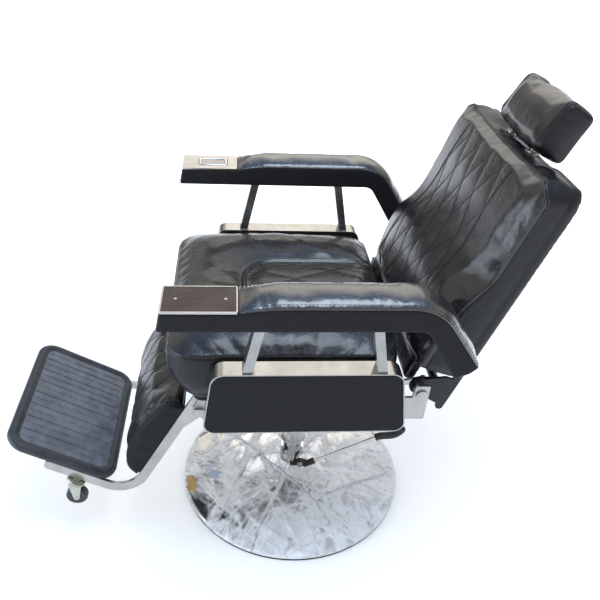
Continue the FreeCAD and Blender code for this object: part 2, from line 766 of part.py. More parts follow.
def pivot_pins():
    """Two back pins and two leg pins, all held by the seat frame."""
    pins = []
    for side in SIDES.values():
        outer = OUTRIGGER_REACH + HINGE_PLATE
        x0, x1 = span(side, BRACKET_INNER - 4, outer)
        head = rod_x(PIVOT_HEAD, *span(side, outer, outer + 4), PIVOT_Y, PIVOT_Z)
        pins.append(rod_x(PIVOT_RADIUS, x0, x1, PIVOT_Y, PIVOT_Z).fuse(head))
        inner, outer = BAR_INNER - SIDE_GAP, RAIL_INNER
        cap = rod_x(LEG_PIN_HEAD - 1, *span(side, inner - 2.5, inner), LEG_PIVOT_Y, LEG_PIVOT_Z)
        head = plate_x(pin_head(), 0, *span(side, outer, outer + 7))
        pin = rod_x(LEG_PIN_RADIUS, *span(side, inner, outer), LEG_PIVOT_Y, LEG_PIVOT_Z)
        pins.append(pin.fuse(cap).fuse(head).removeSplitter())
    return pins


def pin_head():
    """Side view of the leg pin's square head."""
    return rectangle(LEG_PIVOT_Y - LEG_PIN_HEAD, LEG_PIVOT_Y + LEG_PIN_HEAD,
                     LEG_PIVOT_Z - LEG_PIN_HEAD, LEG_PIVOT_Z + LEG_PIN_HEAD)


def pivot_bushes():
    """Spacer bushes between the hinge plates and the back's brackets."""
    bushes = []
    for side, inner in ((1, BRACKET_OUTER), (-1, QUADRANT_INNER + QUADRANT_PLATE)):
        x0, x1 = span(side, inner + SIDE_GAP, OUTRIGGER_REACH)
        bush = rod_x(PIVOT_HEAD, x0, x1, PIVOT_Y, PIVOT_Z)
        bushes.append(bush.cut(rod_x(PIVOT_RADIUS, x0 - 1, x1 + 1, PIVOT_Y, PIVOT_Z)))
    return bushes


def lock_place():
    """Middle of the recline lock's bolt in the side view."""
    angle = math.radians(LOCK_ANGLE)
    return PIVOT_Y + LOCK_RADIUS * math.cos(angle), PIVOT_Z + LOCK_RADIUS * math.sin(angle)


def lock_handle():
    """Bolt through the quadrant with its clamp handle, turned together."""
    y, z = lock_place()
    inner, outer = QUADRANT_INNER - SIDE_GAP, OUTRIGGER_REACH + HINGE_PLATE + SIDE_GAP
    shape = rod_x(LOCK_BOLT, -outer, -inner, y, z)
    shape = shape.fuse(rod_x(LOCK_BOLT + 4, -inner, -inner + 4, y, z))
    shape = shape.fuse(rod_x(LOCK_BOLT + 7, -outer - 3 * LOCK_BAR, -outer, y, z))
    along = Vector(0, 1, LOCK_RISE).normalize()
    hub = Vector(-outer - 1.5 * LOCK_BAR, y, z)
    bar = Part.makeCylinder(LOCK_BAR, LOCK_HANDLE, hub, along)
    start = hub + along * (LOCK_HANDLE - LOCK_KNOB_LENGTH + 4)
    knob = Part.makeCylinder(LOCK_KNOB, LOCK_KNOB_LENGTH, start, along)
    return shape.fuse(bar).fuse(knob).removeSplitter()


def seat_level(z, side_in, end_in, grow):
    """Outline of the seat cushion at one height, moved in from its seam."""
    x = SEAT_HALF - side_in
    corners = [Vector(a, b, z) for a, b in rectangle(-x, x, SEAT_FRONT + end_in, SEAT_REAR - side_in)]
    front, rear = SEAT_CORNER + grow, SEAT_REAR_CORNER + grow
    return rounded_wire(corners, [front, front, rear, rear])


def seat_cushion():
    """Seat cushion: rounded boxing, crowned top, and a raised horseshoe round a sunken middle."""
    boxing = []
    for i in range(BOXING_STEPS + 1):
        share = (1 - i / BOXING_STEPS) ** BOXING_ROUND
        z = CUSHION_BOTTOM + (SEAM_HEIGHT - CUSHION_BOTTOM) * i / BOXING_STEPS
        boxing.append(seat_level(z, SEAT_TUCK * share, SEAT_UNDERCUT * share, -SEAT_TUCK * share))
    shape = Part.makeLoft(boxing, True, False)
    levels = []
    for i in range(CROWN_STEPS + 1):
        rise = i / CROWN_STEPS
        inward = CROWN_REACH * rise * (CROWN_SLOPE + (1 - CROWN_SLOPE) * rise)
        height = SEAM_HEIGHT + SEAT_CROWN * rise
        levels.append(seat_level(height, inward, inward, inward * CROWN_ROUNDING))
    shape = shape.fuse(Part.makeLoft(levels, True, False))
    crown = SEAM_HEIGHT + SEAT_CROWN
    well = [panel_edge(0, crown - PANEL_DEPTH), panel_edge(PANEL_BEVEL, crown + PANEL_RISE)]
    return shape.cut(Part.makeLoft(well, True, True))


def panel_edge(outward, z):
    """Outline of the sunken panel at one height; it runs out past the cushion's rear."""
    x = PANEL_HALF + outward
    rear = SEAT_REAR + PANEL_BEVEL + outward
    corners = [Vector(a, b, z) for a, b in rectangle(-x, x, PANEL_FRONT - outward, rear)]
    front = PANEL_CORNER + outward
    return rounded_wire(corners, [front, front, PANEL_RISE, PANEL_RISE])


def box_outline(distance):
    """Side box outline and corner radii, moved inwards."""
    return inset(BOX_OUTLINE, distance), [radius - distance for radius in BOX_RADII]


def side_band(side):
    """Chrome strip bent round the side box."""
    x0, x1 = span(side, BOX_INNER, BOX_OUTER)
    outer = plate_x(*box_outline(0), x0, x1)
    return outer.cut(plate_x(*box_outline(BAND_WALL), x0 - 1, x1 + 1))


def side_panel(side, near):
    """Covered board that closes one face of the side box."""
    outline, radii = box_outline(BAND_WALL + SIDE_GAP)
    return plate_x(outline, radii, *span(side, near, near + PANEL_THICKNESS))


def post_foot(middle, lean, height):
    """Side view of an arm post at a height above the band: its front and rear edges."""
    shift = lean * height
    return middle + shift - POST_DEPTH / 2, middle + shift + POST_DEPTH / 2


def arm_posts(side):
    """Front and rear posts, flat chrome tubes between box and arm."""
    posts = []
    height = ARM_UNDER - BOX_TOP
    for middle, lean in ((FRONT_POST, FRONT_LEAN), (REAR_POST, REAR_LEAN)):
        a0, a1 = post_foot(middle, lean, 0)
        b0, b1 = post_foot(middle, lean, height)
        outline = [(a0, BOX_TOP), (a1, BOX_TOP), (b1, ARM_UNDER), (b0, ARM_UNDER)]
        tube = plate_x(outline, 0, *span(side, POST_INNER, POST_OUTER))
        h0, h1 = a0 + POST_WALL, a1 - POST_WALL
        g0, g1 = b0 + POST_WALL, b1 - POST_WALL
        hole = plate_x([(h0, BOX_TOP), (h1, BOX_TOP), (g1, ARM_UNDER), (g0, ARM_UNDER)], 0,
                       *span(side, POST_INNER + POST_WALL, POST_OUTER - POST_WALL))
        posts.append(tube.cut(hole))
    return posts


def seam_line():
    """Top line of the arm, where its pad begins, as (y, z, crown) stations."""
    stations = [(PLATE_REAR, ARM_PLATE_TOP - 1, 2.0), (PLATE_REAR + 28, ARM_SEAM - 4, PAD_CROWN - 4),
                (PLATE_REAR + 70, ARM_SEAM, PAD_CROWN), (PAD_LEVEL_END, ARM_SEAM, PAD_CROWN)]
    knee = Vector(0, ARM_KNEE, ARM_SEAM)
    tail = Vector(0, ARM_TAIL[0], ARM_UNDER + ARM_TAIL[1])
    start, middle, end = fillet_arc(Vector(0, PAD_LEVEL_END, ARM_SEAM), knee, tail, ARM_KNEE_ROUND)
    arc = Part.Arc(start, middle, end)
    first, last = arc.FirstParameter, arc.LastParameter
    for i in range(6):
        point = arc.value(first + (last - first) * i / 5)
        stations.append((point.y, point.z, PAD_CROWN))
    lower = (end + tail * 2) * (1 / 3)
    stations.append((lower.y, lower.z, PAD_CROWN - 3))
    stations.append((tail.y, tail.z, 4.0))
    return stations


def arm_body(side):
    """Covered arm, level in front and turned down at the rear."""
    top = [(y, z) for y, z, crown in seam_line()]
    outline = [(ARM_FRONT, ARM_UNDER), (ARM_ELBOW, ARM_UNDER)]
    outline += [(y, ARM_UNDER + drop) for y, drop in (ARM_HEEL, ARM_TOE)]
    outline += list(reversed(top))
    outline += [(PLATE_REAR, PLATE_REST), (ARM_FRONT + 8, PLATE_REST)]
    radii = [4, 26, 5, 5] + [0] * len(top) + [0, 2]
    shape = plate_x(outline, radii, *span(side, ARM_INNER, ARM_OUTER))
    if side < 0:
        y0, y1, x0, x1 = lid_opening(2.0)
        shape = shape.cut(box(x0, x1, y0, y1, PLATE_REST - BIN_DEPTH - SIDE_GAP, PLATE_REST + 1))
    return shape


def arm_pad(side):
    """Padded strip on the arm, crowned across its width."""
    x0, x1 = span(side, ARM_INNER, ARM_OUTER)
    middle = (x0 + x1) / 2
    stations = seam_line()
    wires = []
    for i, (y, z, crown) in enumerate(stations):
        before = stations[max(i - 1, 0)]
        after = stations[min(i + 1, len(stations) - 1)]
        length = math.hypot(after[0] - before[0], after[1] - before[1])
        up_y, up_z = -(after[1] - before[1]) / length, (after[0] - before[0]) / length
        a, b = Vector(x0, y, z), Vector(x1, y, z)
        peak = Vector(middle, y + up_y * crown, z + up_z * crown)
        wires.append(Part.Wire([Part.LineSegment(a, b).toShape(), Part.Arc(b, peak, a).toShape()]))
    return Part.makeLoft(wires, True, True)


def arm_plate_outline(side, distance):
    """Outline of the plate zone on an arm, moved inwards."""
    x0, x1 = span(side, ARM_INNER + 0.5, ARM_OUTER - 0.5)
    return rectangle(x0 + distance, x1 - distance, ARM_FRONT + 8 + distance, PLATE_REAR - 0.5 - distance)


def plate_frame():
    """Chrome frame round the wooden plate of the left arm."""
    outer = plate_z(arm_plate_outline(1, 0), 4, PLATE_REST, ARM_PLATE_TOP)
    inner = plate_z(arm_plate_outline(1, FRAME_BORDER), 2, PLATE_REST - 1, ARM_PLATE_TOP + 1)
    return outer.cut(inner)


def plate_screw_places():
    """Middles of the wooden plate's two screws."""
    middle = (ARM_INNER + ARM_OUTER) / 2
    return [(middle, PLATE_REAR - 22), (middle, ARM_FRONT + 34)]


def wood_plate():
    """Lacquered wooden plate in the left arm."""
    plate = plate_z(arm_plate_outline(1, FRAME_BORDER + 0.2), 2, PLATE_REST, ARM_PLATE_TOP - 0.6)
    for x, y in plate_screw_places():
        plate = plate.cut(rod_z(1.8, x, y, PLATE_REST - 1, ARM_PLATE_TOP))
    return plate


def plate_screws():
    """Two small screws of the wooden plate."""
    return [rod_z(1.8, x, y, PLATE_REST, ARM_PLATE_TOP - 0.6).fuse(
        rod_z(3.0, x, y, ARM_PLATE_TOP - 0.6, ARM_PLATE_TOP + 0.2)) for x, y in plate_screw_places()]


def lid_opening(margin):
    """Opening for the ashtray lid in the right arm, with a margin round it."""
    middle = -(ARM_INNER + ARM_OUTER) / 2
    return (LID_MIDDLE_Y - LID_LENGTH / 2 - margin, LID_MIDDLE_Y + LID_LENGTH / 2 + margin,
            middle - LID_WIDTH / 2 - margin, middle + LID_WIDTH / 2 + margin)


def lid_axis():
    """Side view of the lid's hinge line."""
    return LID_MIDDLE_Y + LID_LENGTH / 2 - LID_THICKNESS / 2, ARM_PLATE_TOP - LID_THICKNESS / 2


def ashtray_plate():
    """Chrome plate of the right arm, cut for the ashtray."""
    plate = plate_z(arm_plate_outline(-1, 0), 4, PLATE_REST, ARM_PLATE_TOP)
    y0, y1, x0, x1 = lid_opening(LID_GAP)
    y, z = lid_axis()
    reach = TRUNNION_LENGTH + LID_GAP
    plate = plate.cut(box(x0, x1, y0, y1, PLATE_REST - 1, ARM_PLATE_TOP + 1))
    return plate.cut(rod_x(TRUNNION_RADIUS + RUNNING_FIT, x0 - reach, x1 + reach, y, z))


def ashtray_bin():
    """Pressed metal bin under the lid."""
    y0, y1, x0, x1 = lid_opening(1.6)
    outer = box(x0, x1, y0, y1, PLATE_REST - BIN_DEPTH, PLATE_REST)
    return outer.cut(box(x0 + BIN_WALL, x1 - BIN_WALL, y0 + BIN_WALL, y1 - BIN_WALL,
                         PLATE_REST - BIN_DEPTH + BIN_WALL, PLATE_REST + 1))


def ashtray_lid():
    """Chrome lid with a round rear edge and two trunnions."""
    y0, y1, x0, x1 = lid_opening(0)
    y, z = lid_axis()
    half = LID_THICKNESS / 2
    shape = box(x0, x1, y0, y, z - half, z + half).fuse(rod_x(half, x0, x1, y, z))
    shape = shape.fuse(rod_x(TRUNNION_RADIUS, x0 - TRUNNION_LENGTH, x1 + TRUNNION_LENGTH, y, z))
    return shape.removeSplitter()


def back_stations():
    """Levels of the back cushion: height, how far its sides, front and rear come in, and its swell."""
    high = BACK_TOP - BACK_SHOULDER
    stations = [(BACK_BOTTOM, 8, 10 - LUMBAR, 0, 1.0)]
    first = BACK_BOTTOM + 12
    for i in range(BACK_LEVELS):
        z = first + (high - first) * i / BACK_LEVELS
        share = min(max((z - LUMBAR_TOP) / (LUMBAR_FADE - LUMBAR_TOP), 0.0), 1.0)
        bulge = LUMBAR * (1 - share * share * (3 - 2 * share))
        stations.append((z, 0, -bulge, 0, 1.0))
    for i in range(SHOULDER_STEPS):
        angle = math.pi / 2 * i / (SHOULDER_STEPS - 1)
        fall = 1 - math.cos(angle)
        stations.append((high + BACK_SHOULDER * math.sin(angle), BACK_SHOULDER * fall, TOP_TUCK * fall,
                         TOP_TUCK * fall, 1 - fall / 4))
    return stations


def back_cushion():
    """Back cushion: thin above, thicker at the lumbar, crowned across, with a pocket for its board."""
    wires = []
    for z, side_in, front_in, rear_in, swell in back_stations():
        x = BACK_HALF - side_in
        rear = BACK_REAR - rear_in
        a, b = Vector(x - 2, rear, z), Vector(x, front_in, z)
        c, d = Vector(-x, front_in, z), Vector(2 - x, rear, z)
        side = Vector(x + 3, (rear + front_in) / 2, z)
        other = Vector(-x - 3, (rear + front_in) / 2, z)
        peak = Vector(0, front_in - BACK_CROWN * swell, z)
        wires.append(Part.Wire([
            Part.Arc(a, side, b).toShape(), Part.Arc(b, peak, c).toShape(),
            Part.Arc(c, other, d).toShape(), Part.LineSegment(d, a).toShape()]))
    shape = Part.makeLoft(wires, True, False)
    over = BACK_TOP + BACK_SHOULDER
    above = [(-over, over), (-over, BACK_TOP), (0, BACK_TOP), (BACK_REAR, BACK_TOP - TOP_FALL),
             (over, BACK_TOP - TOP_FALL), (over, over)]
    shape = shape.cut(plate_x(above, 0, -BACK_HALF, BACK_HALF))
    front = BACK_REAR - BACK_BOARD - SIDE_GAP
    half = BRACKET_OUTER + 1
    shape = shape.cut(box(-half, half, front, BACK_REAR + 30, 0, BACK_TOP - BACK_SHOULDER))
    tail = [(TAIL_FRONT, TAIL_BOTTOM), (TAIL_REAR, TAIL_BOTTOM), (TAIL_REAR, BACK_BOTTOM + 4),
            (TAIL_FRONT, BACK_BOTTOM + 4)]
    shape = shape.fuse(plate_x(tail, [12, 6, 0, 0], -TAIL_HALF, TAIL_HALF)).removeSplitter()
    for side in SIDES.values():
        x = side * HEAD_POST_X
        shape = shape.cut(rod_z(GUIDE_RADIUS, x, HEAD_POST_DEPTH, GUIDE_BOTTOM, BACK_TOP + 30))
        shape = shape.cut(rod_z(HEAD_POST_RADIUS + 0.6, x, HEAD_POST_DEPTH, HEAD_POST_BOTTOM - 5,
                                GUIDE_BOTTOM + 1))
    return on_back(shape)


def back_board():
    """Plywood board in the back."""
    front = BACK_REAR - BACK_BOARD
    low, high = BACK_BOTTOM + BOARD_INSET, BACK_TOP - BACK_SHOULDER - 1
    return on_back(box(-BRACKET_INNER, BRACKET_INNER, front, BACK_REAR, low, high))


def back_bracket(side):
    """Side plate of the back frame: pivot ear and upright."""
    py, pz = back_local(PIVOT_Y, PIVOT_Z)
    x0, x1 = span(side, BRACKET_INNER, BRACKET_OUTER)
    front, rear = BACK_REAR - BACK_BOARD + 1, BACK_REAR + 3
    low, high = -BRACKET_FOOT, BRACKET_TOP
    upright = plate_x([(front, low), (rear, low), (rear, high), (front, high)],
                      [BRACKET_CORNER, BRACKET_CORNER, 4, 4], x0, x1)
    waist = BRACKET_EAR - 2
    arm = plate_x([(py, pz - waist), (rear - 2, 10 - BRACKET_FOOT), (rear - 2, BRACKET_WEB),
                   (front - 16, BRACKET_WEB), (py, pz + waist)], [0, 2, 2, 6, 0], x0, x1)
    ear = rod_x(BRACKET_EAR, x0, x1, py, pz)
    return ear.fuse(arm).fuse(upright)


def back_frame():
    """Welded frame of the back: two side plates, a cross tube and the link levers."""
    shape = back_bracket(1).fuse(back_bracket(-1))
    ty, tz = BACK_REAR - 10, 2.0
    shape = shape.fuse(rod_x(10, -BRACKET_INNER - 1, BRACKET_INNER + 1, ty, tz))
    ly, lz = back_local(PIVOT_Y + LINK_TRAIL, PIVOT_Z - LINK_DROP)
    for side in SIDES.values():
        lever = strap([(ty, tz), (ly, lz)], (13.0, 10.0), *span(side, BAR_INNER, BAR_INNER + BAR_PLATE))
        shape = shape.fuse(lever)
    shape = shape.removeSplitter()
    py, pz = back_local(PIVOT_Y, PIVOT_Z)
    shape = shape.cut(rod_x(PIVOT_RADIUS + RUNNING_FIT, -BRACKET_OUTER - 1, BRACKET_OUTER + 1, py, pz))
    for side in SIDES.values():
        shape = shape.fuse(rod_x(LINK_PIN, *span(side, LINK_INNER - 3, BAR_INNER + BAR_PLATE), ly, lz))
    return on_back(shape.removeSplitter())


def lock_quadrant():
    """Slotted plate on the right bracket that the recline lock clamps."""
    x0, x1 = -QUADRANT_INNER - QUADRANT_PLATE, -QUADRANT_INNER
    first, last = LOCK_ANGLE - RECLINE_UP - 16, LOCK_ANGLE + RECLINE_BACK + 16
    plate = sector(QUADRANT_RADIUS, first, last, x0, x1)
    slot_first, slot_last = LOCK_ANGLE - RECLINE_UP - 3, LOCK_ANGLE + RECLINE_BACK + 3
    width = LOCK_BOLT + 0.5
    slot = sector(LOCK_RADIUS + width, slot_first, slot_last, x0 - 1, x1 + 1)
    slot = slot.cut(rod_x(LOCK_RADIUS - width, x0 - 2, x1 + 2, 0, 0))
    for angle in (slot_first, slot_last):
        y, z = LOCK_RADIUS * math.cos(math.radians(angle)), LOCK_RADIUS * math.sin(math.radians(angle))
        slot = slot.fuse(rod_x(width, x0 - 1, x1 + 1, y, z))
    plate = plate.fuse(rod_x(18, x0, -BRACKET_OUTER, 0, 0)).cut(slot)
    plate = plate.cut(rod_x(PIVOT_RADIUS + RUNNING_FIT, x0 - 1, 0, 0, 0))
    plate.translate(Vector(0, PIVOT_Y, PIVOT_Z))
    return plate


def sector(radius, first, last, x0, x1):
    """Pie-shaped plate about the X axis between two angles."""
    middle = (first + last) / 2
    points = [Vector(x0, radius * math.cos(math.radians(a)), radius * math.sin(math.radians(a)))
              for a in (first, middle, last)]
    centre = Vector(x0, 0, 0)
    wire = Part.Wire([Part.LineSegment(centre, points[0]).toShape(), Part.Arc(*points).toShape(),
                      Part.LineSegment(points[2], centre).toShape()])
    return Part.Face(wire).extrude(Vector(x1 - x0, 0, 0))


def post_guides():
    """Guide sleeves for the headrest posts."""
    guides = []
    for side in SIDES.values():
        x = side * HEAD_POST_X
        guide = rod_z(GUIDE_RADIUS, x, HEAD_POST_DEPTH, GUIDE_BOTTOM, COLLAR_SEAT)
        collar = rod_z(GUIDE_RADIUS + COLLAR_RIM, x, HEAD_POST_DEPTH,
                       COLLAR_SEAT, COLLAR_SEAT + COLLAR_RIM)
        hole = rod_z(HEAD_POST_RADIUS + RUNNING_FIT, x, HEAD_POST_DEPTH, GUIDE_BOTTOM - 1, BACK_TOP + 20)
        guides.append(on_back(guide.fuse(collar).removeSplitter().cut(hole)))
    return guides


def headrest_posts():
    """Two steel posts that carry the headrest."""
    return [on_back(rod_z(HEAD_POST_RADIUS, side * HEAD_POST_X, HEAD_POST_DEPTH, HEAD_POST_BOTTOM,
                          HEAD_POST_TOP)) for side in SIDES.values()]


def headrest_cushion():
    """Boxed headrest cushion, a little wider in its middle."""
    corners = [HEAD_FRONT_FOOT, HEAD_FRONT_TOP, HEAD_REAR_TOP, HEAD_REAR_FOOT]
    radii = [HEAD_ROUND, HEAD_ROUND, HEAD_REAR_ROUND, HEAD_REAR_ROUND]
    middle_y = sum(y for y, z in corners) / 4
    middle_z = sum(z for y, z in corners) / 4
    wires = []
    for share in END_SHARES:
        scale = 1.005 - 0.085 * abs(share) ** END_SHARPNESS
        x = HEAD_HALF * share
        points = [Vector(x, middle_y + (y - middle_y) * scale, middle_z + (z - middle_z) * scale)
                  for y, z in corners]
        wires.append(rounded_wire(points, radii))
    shape = Part.makeLoft(wires, True, False)
    for side in SIDES.values():
        shape = shape.cut(rod_z(HEAD_POST_RADIUS, side * HEAD_POST_X, HEAD_POST_DEPTH, HEAD_POST_BOTTOM,
                                HEAD_POST_TOP))
    return on_back(shape)


def leg_bar(side):
    """Flat bar that hangs from the frame and bends forward under the foot plate."""
    x0, x1 = span(side, BAR_INNER, BAR_INNER + BAR_PLATE)
    front, rear = -BAR_FRONT, BAR_WIDTH - BAR_FRONT
    half = BAR_WIDTH / 2
    middle = (front + rear) / 2
    turn_y, turn_z = middle - BAR_BEND, -BAR_BOTTOM + BAR_BEND
    inner, outer = BAR_BEND - half, BAR_BEND + half
    diagonal = math.sqrt(0.5)
    low, high = -BAR_BOTTOM - half, -BAR_BOTTOM + half
    tip = -BAR_TIP + half
    inner_bend = Vector(x0, turn_y + inner * diagonal, turn_z - inner * diagonal)
    outer_bend = Vector(x0, turn_y + outer * diagonal, turn_z - outer * diagonal)
    edges = [
        Part.LineSegment(Vector(x0, front, -BAR_TOP), Vector(x0, front, turn_z)).toShape(),
        Part.Arc(Vector(x0, front, turn_z), inner_bend, Vector(x0, turn_y, high)).toShape(),
        Part.LineSegment(Vector(x0, turn_y, high), Vector(x0, tip, high)).toShape(),
        Part.Arc(Vector(x0, tip, high), Vector(x0, tip - half, -BAR_BOTTOM),
                 Vector(x0, tip, low)).toShape(),
        Part.LineSegment(Vector(x0, tip, low), Vector(x0, turn_y, low)).toShape(),
        Part.Arc(Vector(x0, turn_y, low), outer_bend, Vector(x0, rear, turn_z)).toShape(),
        Part.LineSegment(Vector(x0, rear, turn_z), Vector(x0, rear, -BAR_TOP)).toShape(),
        Part.LineSegment(Vector(x0, rear, -BAR_TOP), Vector(x0, front, -BAR_TOP)).toShape()]
    shape = Part.Face(Part.Wire(edges)).extrude(Vector(x1 - x0, 0, 0))
    py, pz = leg_local(LEG_PIVOT_Y, LEG_PIVOT_Z)
    ly, lz = leg_local(LEG_PIVOT_Y + LINK_TRAIL, LEG_PIVOT_Z - LINK_DROP)
    gusset = plate_x([(middle, pz + 30), (middle, pz - 70), (rear, pz - 66), (py + 14, pz - 16),
                      (py + 14, pz + 12)], 0, x0, x1)
    shape = shape.fuse(gusset).fuse(rod_x(LEG_EYE, x0, x1, py, pz))
    shape = shape.fuse(strap([(py, pz), (ly, lz)], (17.0, 10.0), x0, x1)).removeSplitter()
    shape = shape.cut(rod_x(LEG_PIN_RADIUS + RUNNING_FIT, x0 - 1, x1 + 1, py, pz))
    shape = shape.fuse(rod_x(LINK_PIN, *span(side, LINK_INNER - 3, BAR_INNER + BAR_PLATE), ly, lz))
    x = side * (BAR_INNER + BAR_PLATE / 2)
    spacer = low - CUP_SPACER
    shape = shape.fuse(rod_z(STEM_RADIUS + 4, x, -CASTER_OUT, spacer, low))
    shape = shape.fuse(rod_z(STEM_RADIUS, x, -CASTER_OUT, spacer - CUP_HEIGHT, spacer))
    return on_leg(shape.removeSplitter())


def leg_cross():
    """Round tube that ties the two leg bars together."""
    middle = BAR_WIDTH / 2 - BAR_FRONT
    return on_leg(rod_x(LEG_CROSS_RADIUS, -BAR_INNER, BAR_INNER, middle, -LEG_CROSS_DROP))


def calf_board():
    """Board behind the calf pad, on the bars' front edges."""
    half = BAR_INNER + BAR_PLATE
    low, high = BOARD_INSET - CALF_BOTTOM, -2 * BOARD_INSET - CALF_TOP
    return on_leg(box(-half, half, -BAR_FRONT - CALF_BOARD, -BAR_FRONT, low, high))


def calf_pad():
    """Rolled calf pad with a rounded top, a full front and square ends."""
    rear = BAR_FRONT + CALF_BOARD
    wires = []
    for share in END_SHARES:
        x = CALF_HALF * share
        shrink = 9 * abs(share) ** END_SHARPNESS - 1
        top, bottom = CALF_TOP + shrink, CALF_BOTTOM - shrink
        front = rear + CALF_DEPTH - shrink
        a, b = Vector(x, -rear, -top), Vector(x, -front, -top - CALF_TOP_ROUND)
        c, d = Vector(x, -front, -bottom + CALF_FOOT_ROUND), Vector(x, -rear, -bottom)
        above = Vector(x, -rear - CALF_DEPTH * 0.6 + shrink * 0.7, -top - CALF_TOP_ROUND / 4)
        below = Vector(x, -rear - CALF_DEPTH * 0.7 + shrink * 0.7, -bottom + CALF_FOOT_ROUND * 0.28)
        wires.append(Part.Wire([
            Part.Arc(a, above, b).toShape(),
            Part.Arc(b, Vector(x, -front - CALF_SWELL, (-top - bottom) / 2), c).toShape(),
            Part.Arc(c, below, d).toShape(),
            Part.LineSegment(d, a).toShape()]))
    return on_leg(Part.makeLoft(wires, True, False))


def foot_tray():
    """Steel plate that carries the foot mat."""
    top = -BAR_BOTTOM + BAR_WIDTH / 2
    outline = rectangle(-TRAY_HALF, TRAY_HALF, -MAT_FRONT + 12, -MAT_REAR - 8)
    return on_leg(plate_z(outline, MAT_CORNER - 12, top, top + TRAY_THICKNESS))


def foot_mat():
    """Ribbed rubber mat with a raised border."""
    bottom = -BAR_BOTTOM + BAR_WIDTH / 2 + TRAY_THICKNESS
    top = bottom + MAT_THICKNESS
    wires = []
    for z, step in ((bottom, 3), (bottom + 5, 0), (top - 4, 0), (top, 4)):
        points = [Vector(x, y, z) for x, y in
                  rectangle(-MAT_HALF + step, MAT_HALF - step, -MAT_FRONT + step, -MAT_REAR - step)]
        wires.append(rounded_wire(points, [MAT_CORNER - step] * 4))
    shape = Part.makeLoft(wires, True, True)
    field_half = MAT_HALF - FIELD_MARGIN
    front, rear = -MAT_FRONT + FIELD_MARGIN - 8, -MAT_REAR - FIELD_MARGIN - 4
    floor = top - FIELD_DEPTH
    field = plate_z(rectangle(-field_half, field_half, front, rear), MAT_CORNER - 18, floor, top + 1)
    shape = shape.cut(field)
    first = -GROOVE_PITCH * (GROOVE_COUNT - 1) / 2
    for i in range(GROOVE_COUNT):
        x0 = first + GROOVE_PITCH * i - GROOVE_WIDTH / 2
        shape = shape.cut(box(x0, x0 + GROOVE_WIDTH, front + 10, rear - 10, floor - GROOVE_DEPTH, top))
    return on_leg(shape)


def caster_fork(side):
    """Swivel cup, two cheeks and the wheel's axle."""
    x = side * (BAR_INNER + BAR_PLATE / 2)
    y = -CASTER_OUT
    underside = -BAR_BOTTOM - BAR_WIDTH / 2
    top = underside - CUP_SPACER - SIDE_GAP
    bottom = top - CUP_HEIGHT
    axle_y, axle_z = y + CASTER_TRAIL, underside - CASTER_DROP
    shape = rod_z(CUP_RADIUS, x, y, bottom, top)
    inner = WHEEL_WIDTH / 2 + FORK_GAP
    outer = inner + FORK_PLATE
    for turn in (1, -1):
        x0, x1 = (x + inner, x + outer) if turn > 0 else (x - outer, x - inner)
        cheek = strap([(y, bottom), (axle_y, axle_z)], (FORK_ROOT, FORK_TIP), x0, x1)
        shape = shape.fuse(cheek.common(box(x0 - 1, x1 + 1, y - CUP_RADIUS, axle_y + CUP_RADIUS,
                                            axle_z - CUP_RADIUS, top)))
    pin = rod_x(AXLE_RADIUS, x - outer - 1.5, x + outer + 1.5, axle_y, axle_z)
    shape = shape.fuse(pin).removeSplitter()
    return on_leg(shape.cut(rod_z(STEM_RADIUS + RUNNING_FIT, x, y, bottom - 5, top + 1)))


def caster_wheel(side):
    """Black wheel with a rounded tread."""
    x = side * (BAR_INNER + BAR_PLATE / 2)
    half = WHEEL_WIDTH / 2
    bore = AXLE_RADIUS + RUNNING_FIT
    rim, flank = WHEEL_RADIUS - TREAD_ROUND, half - TREAD_ROUND
    corner = TREAD_ROUND * (1 - math.sqrt(0.5))
    shape = turned([
        (bore, -half), (rim, -half, WHEEL_RADIUS - corner, corner - half), (WHEEL_RADIUS, -flank),
        (WHEEL_RADIUS, flank, WHEEL_RADIUS - corner, half - corner), (rim, half), (bore, half)])
    shape.rotate(Vector(0, 0, 0), Vector(0, 1, 0), 90)
    shape.translate(Vector(x, -CASTER_OUT + CASTER_TRAIL, -BAR_BOTTOM - BAR_WIDTH / 2 - CASTER_DROP))
    return on_leg(shape)


def sync_links():
    """Two links that carry the back's motion to the leg rest."""
    links = []
    rear = (PIVOT_Y + LINK_TRAIL, PIVOT_Z - LINK_DROP)
    front = (LEG_PIVOT_Y + LINK_TRAIL, LEG_PIVOT_Z - LINK_DROP)
    for side in SIDES.values():
        x0, x1 = span(side, LINK_INNER, LINK_INNER + LINK_THICKNESS)
        link = strap([front, rear], (LINK_WIDTH / 2, LINK_WIDTH / 2), x0, x1)
        link = link.fuse(rod_x(LINK_PIN + 4, x0, x1, *rear)).fuse(rod_x(LINK_PIN + 4, x0, x1, *front))
        link = link.removeSplitter()
        link = link.cut(rod_x(LINK_PIN + RUNNING_FIT, x0 - 1, x1 + 1, *rear))
        links.append(link.cut(rod_x(LINK_PIN + SIDE_GAP, x0 - 1, x1 + 1, *front)))
    return links


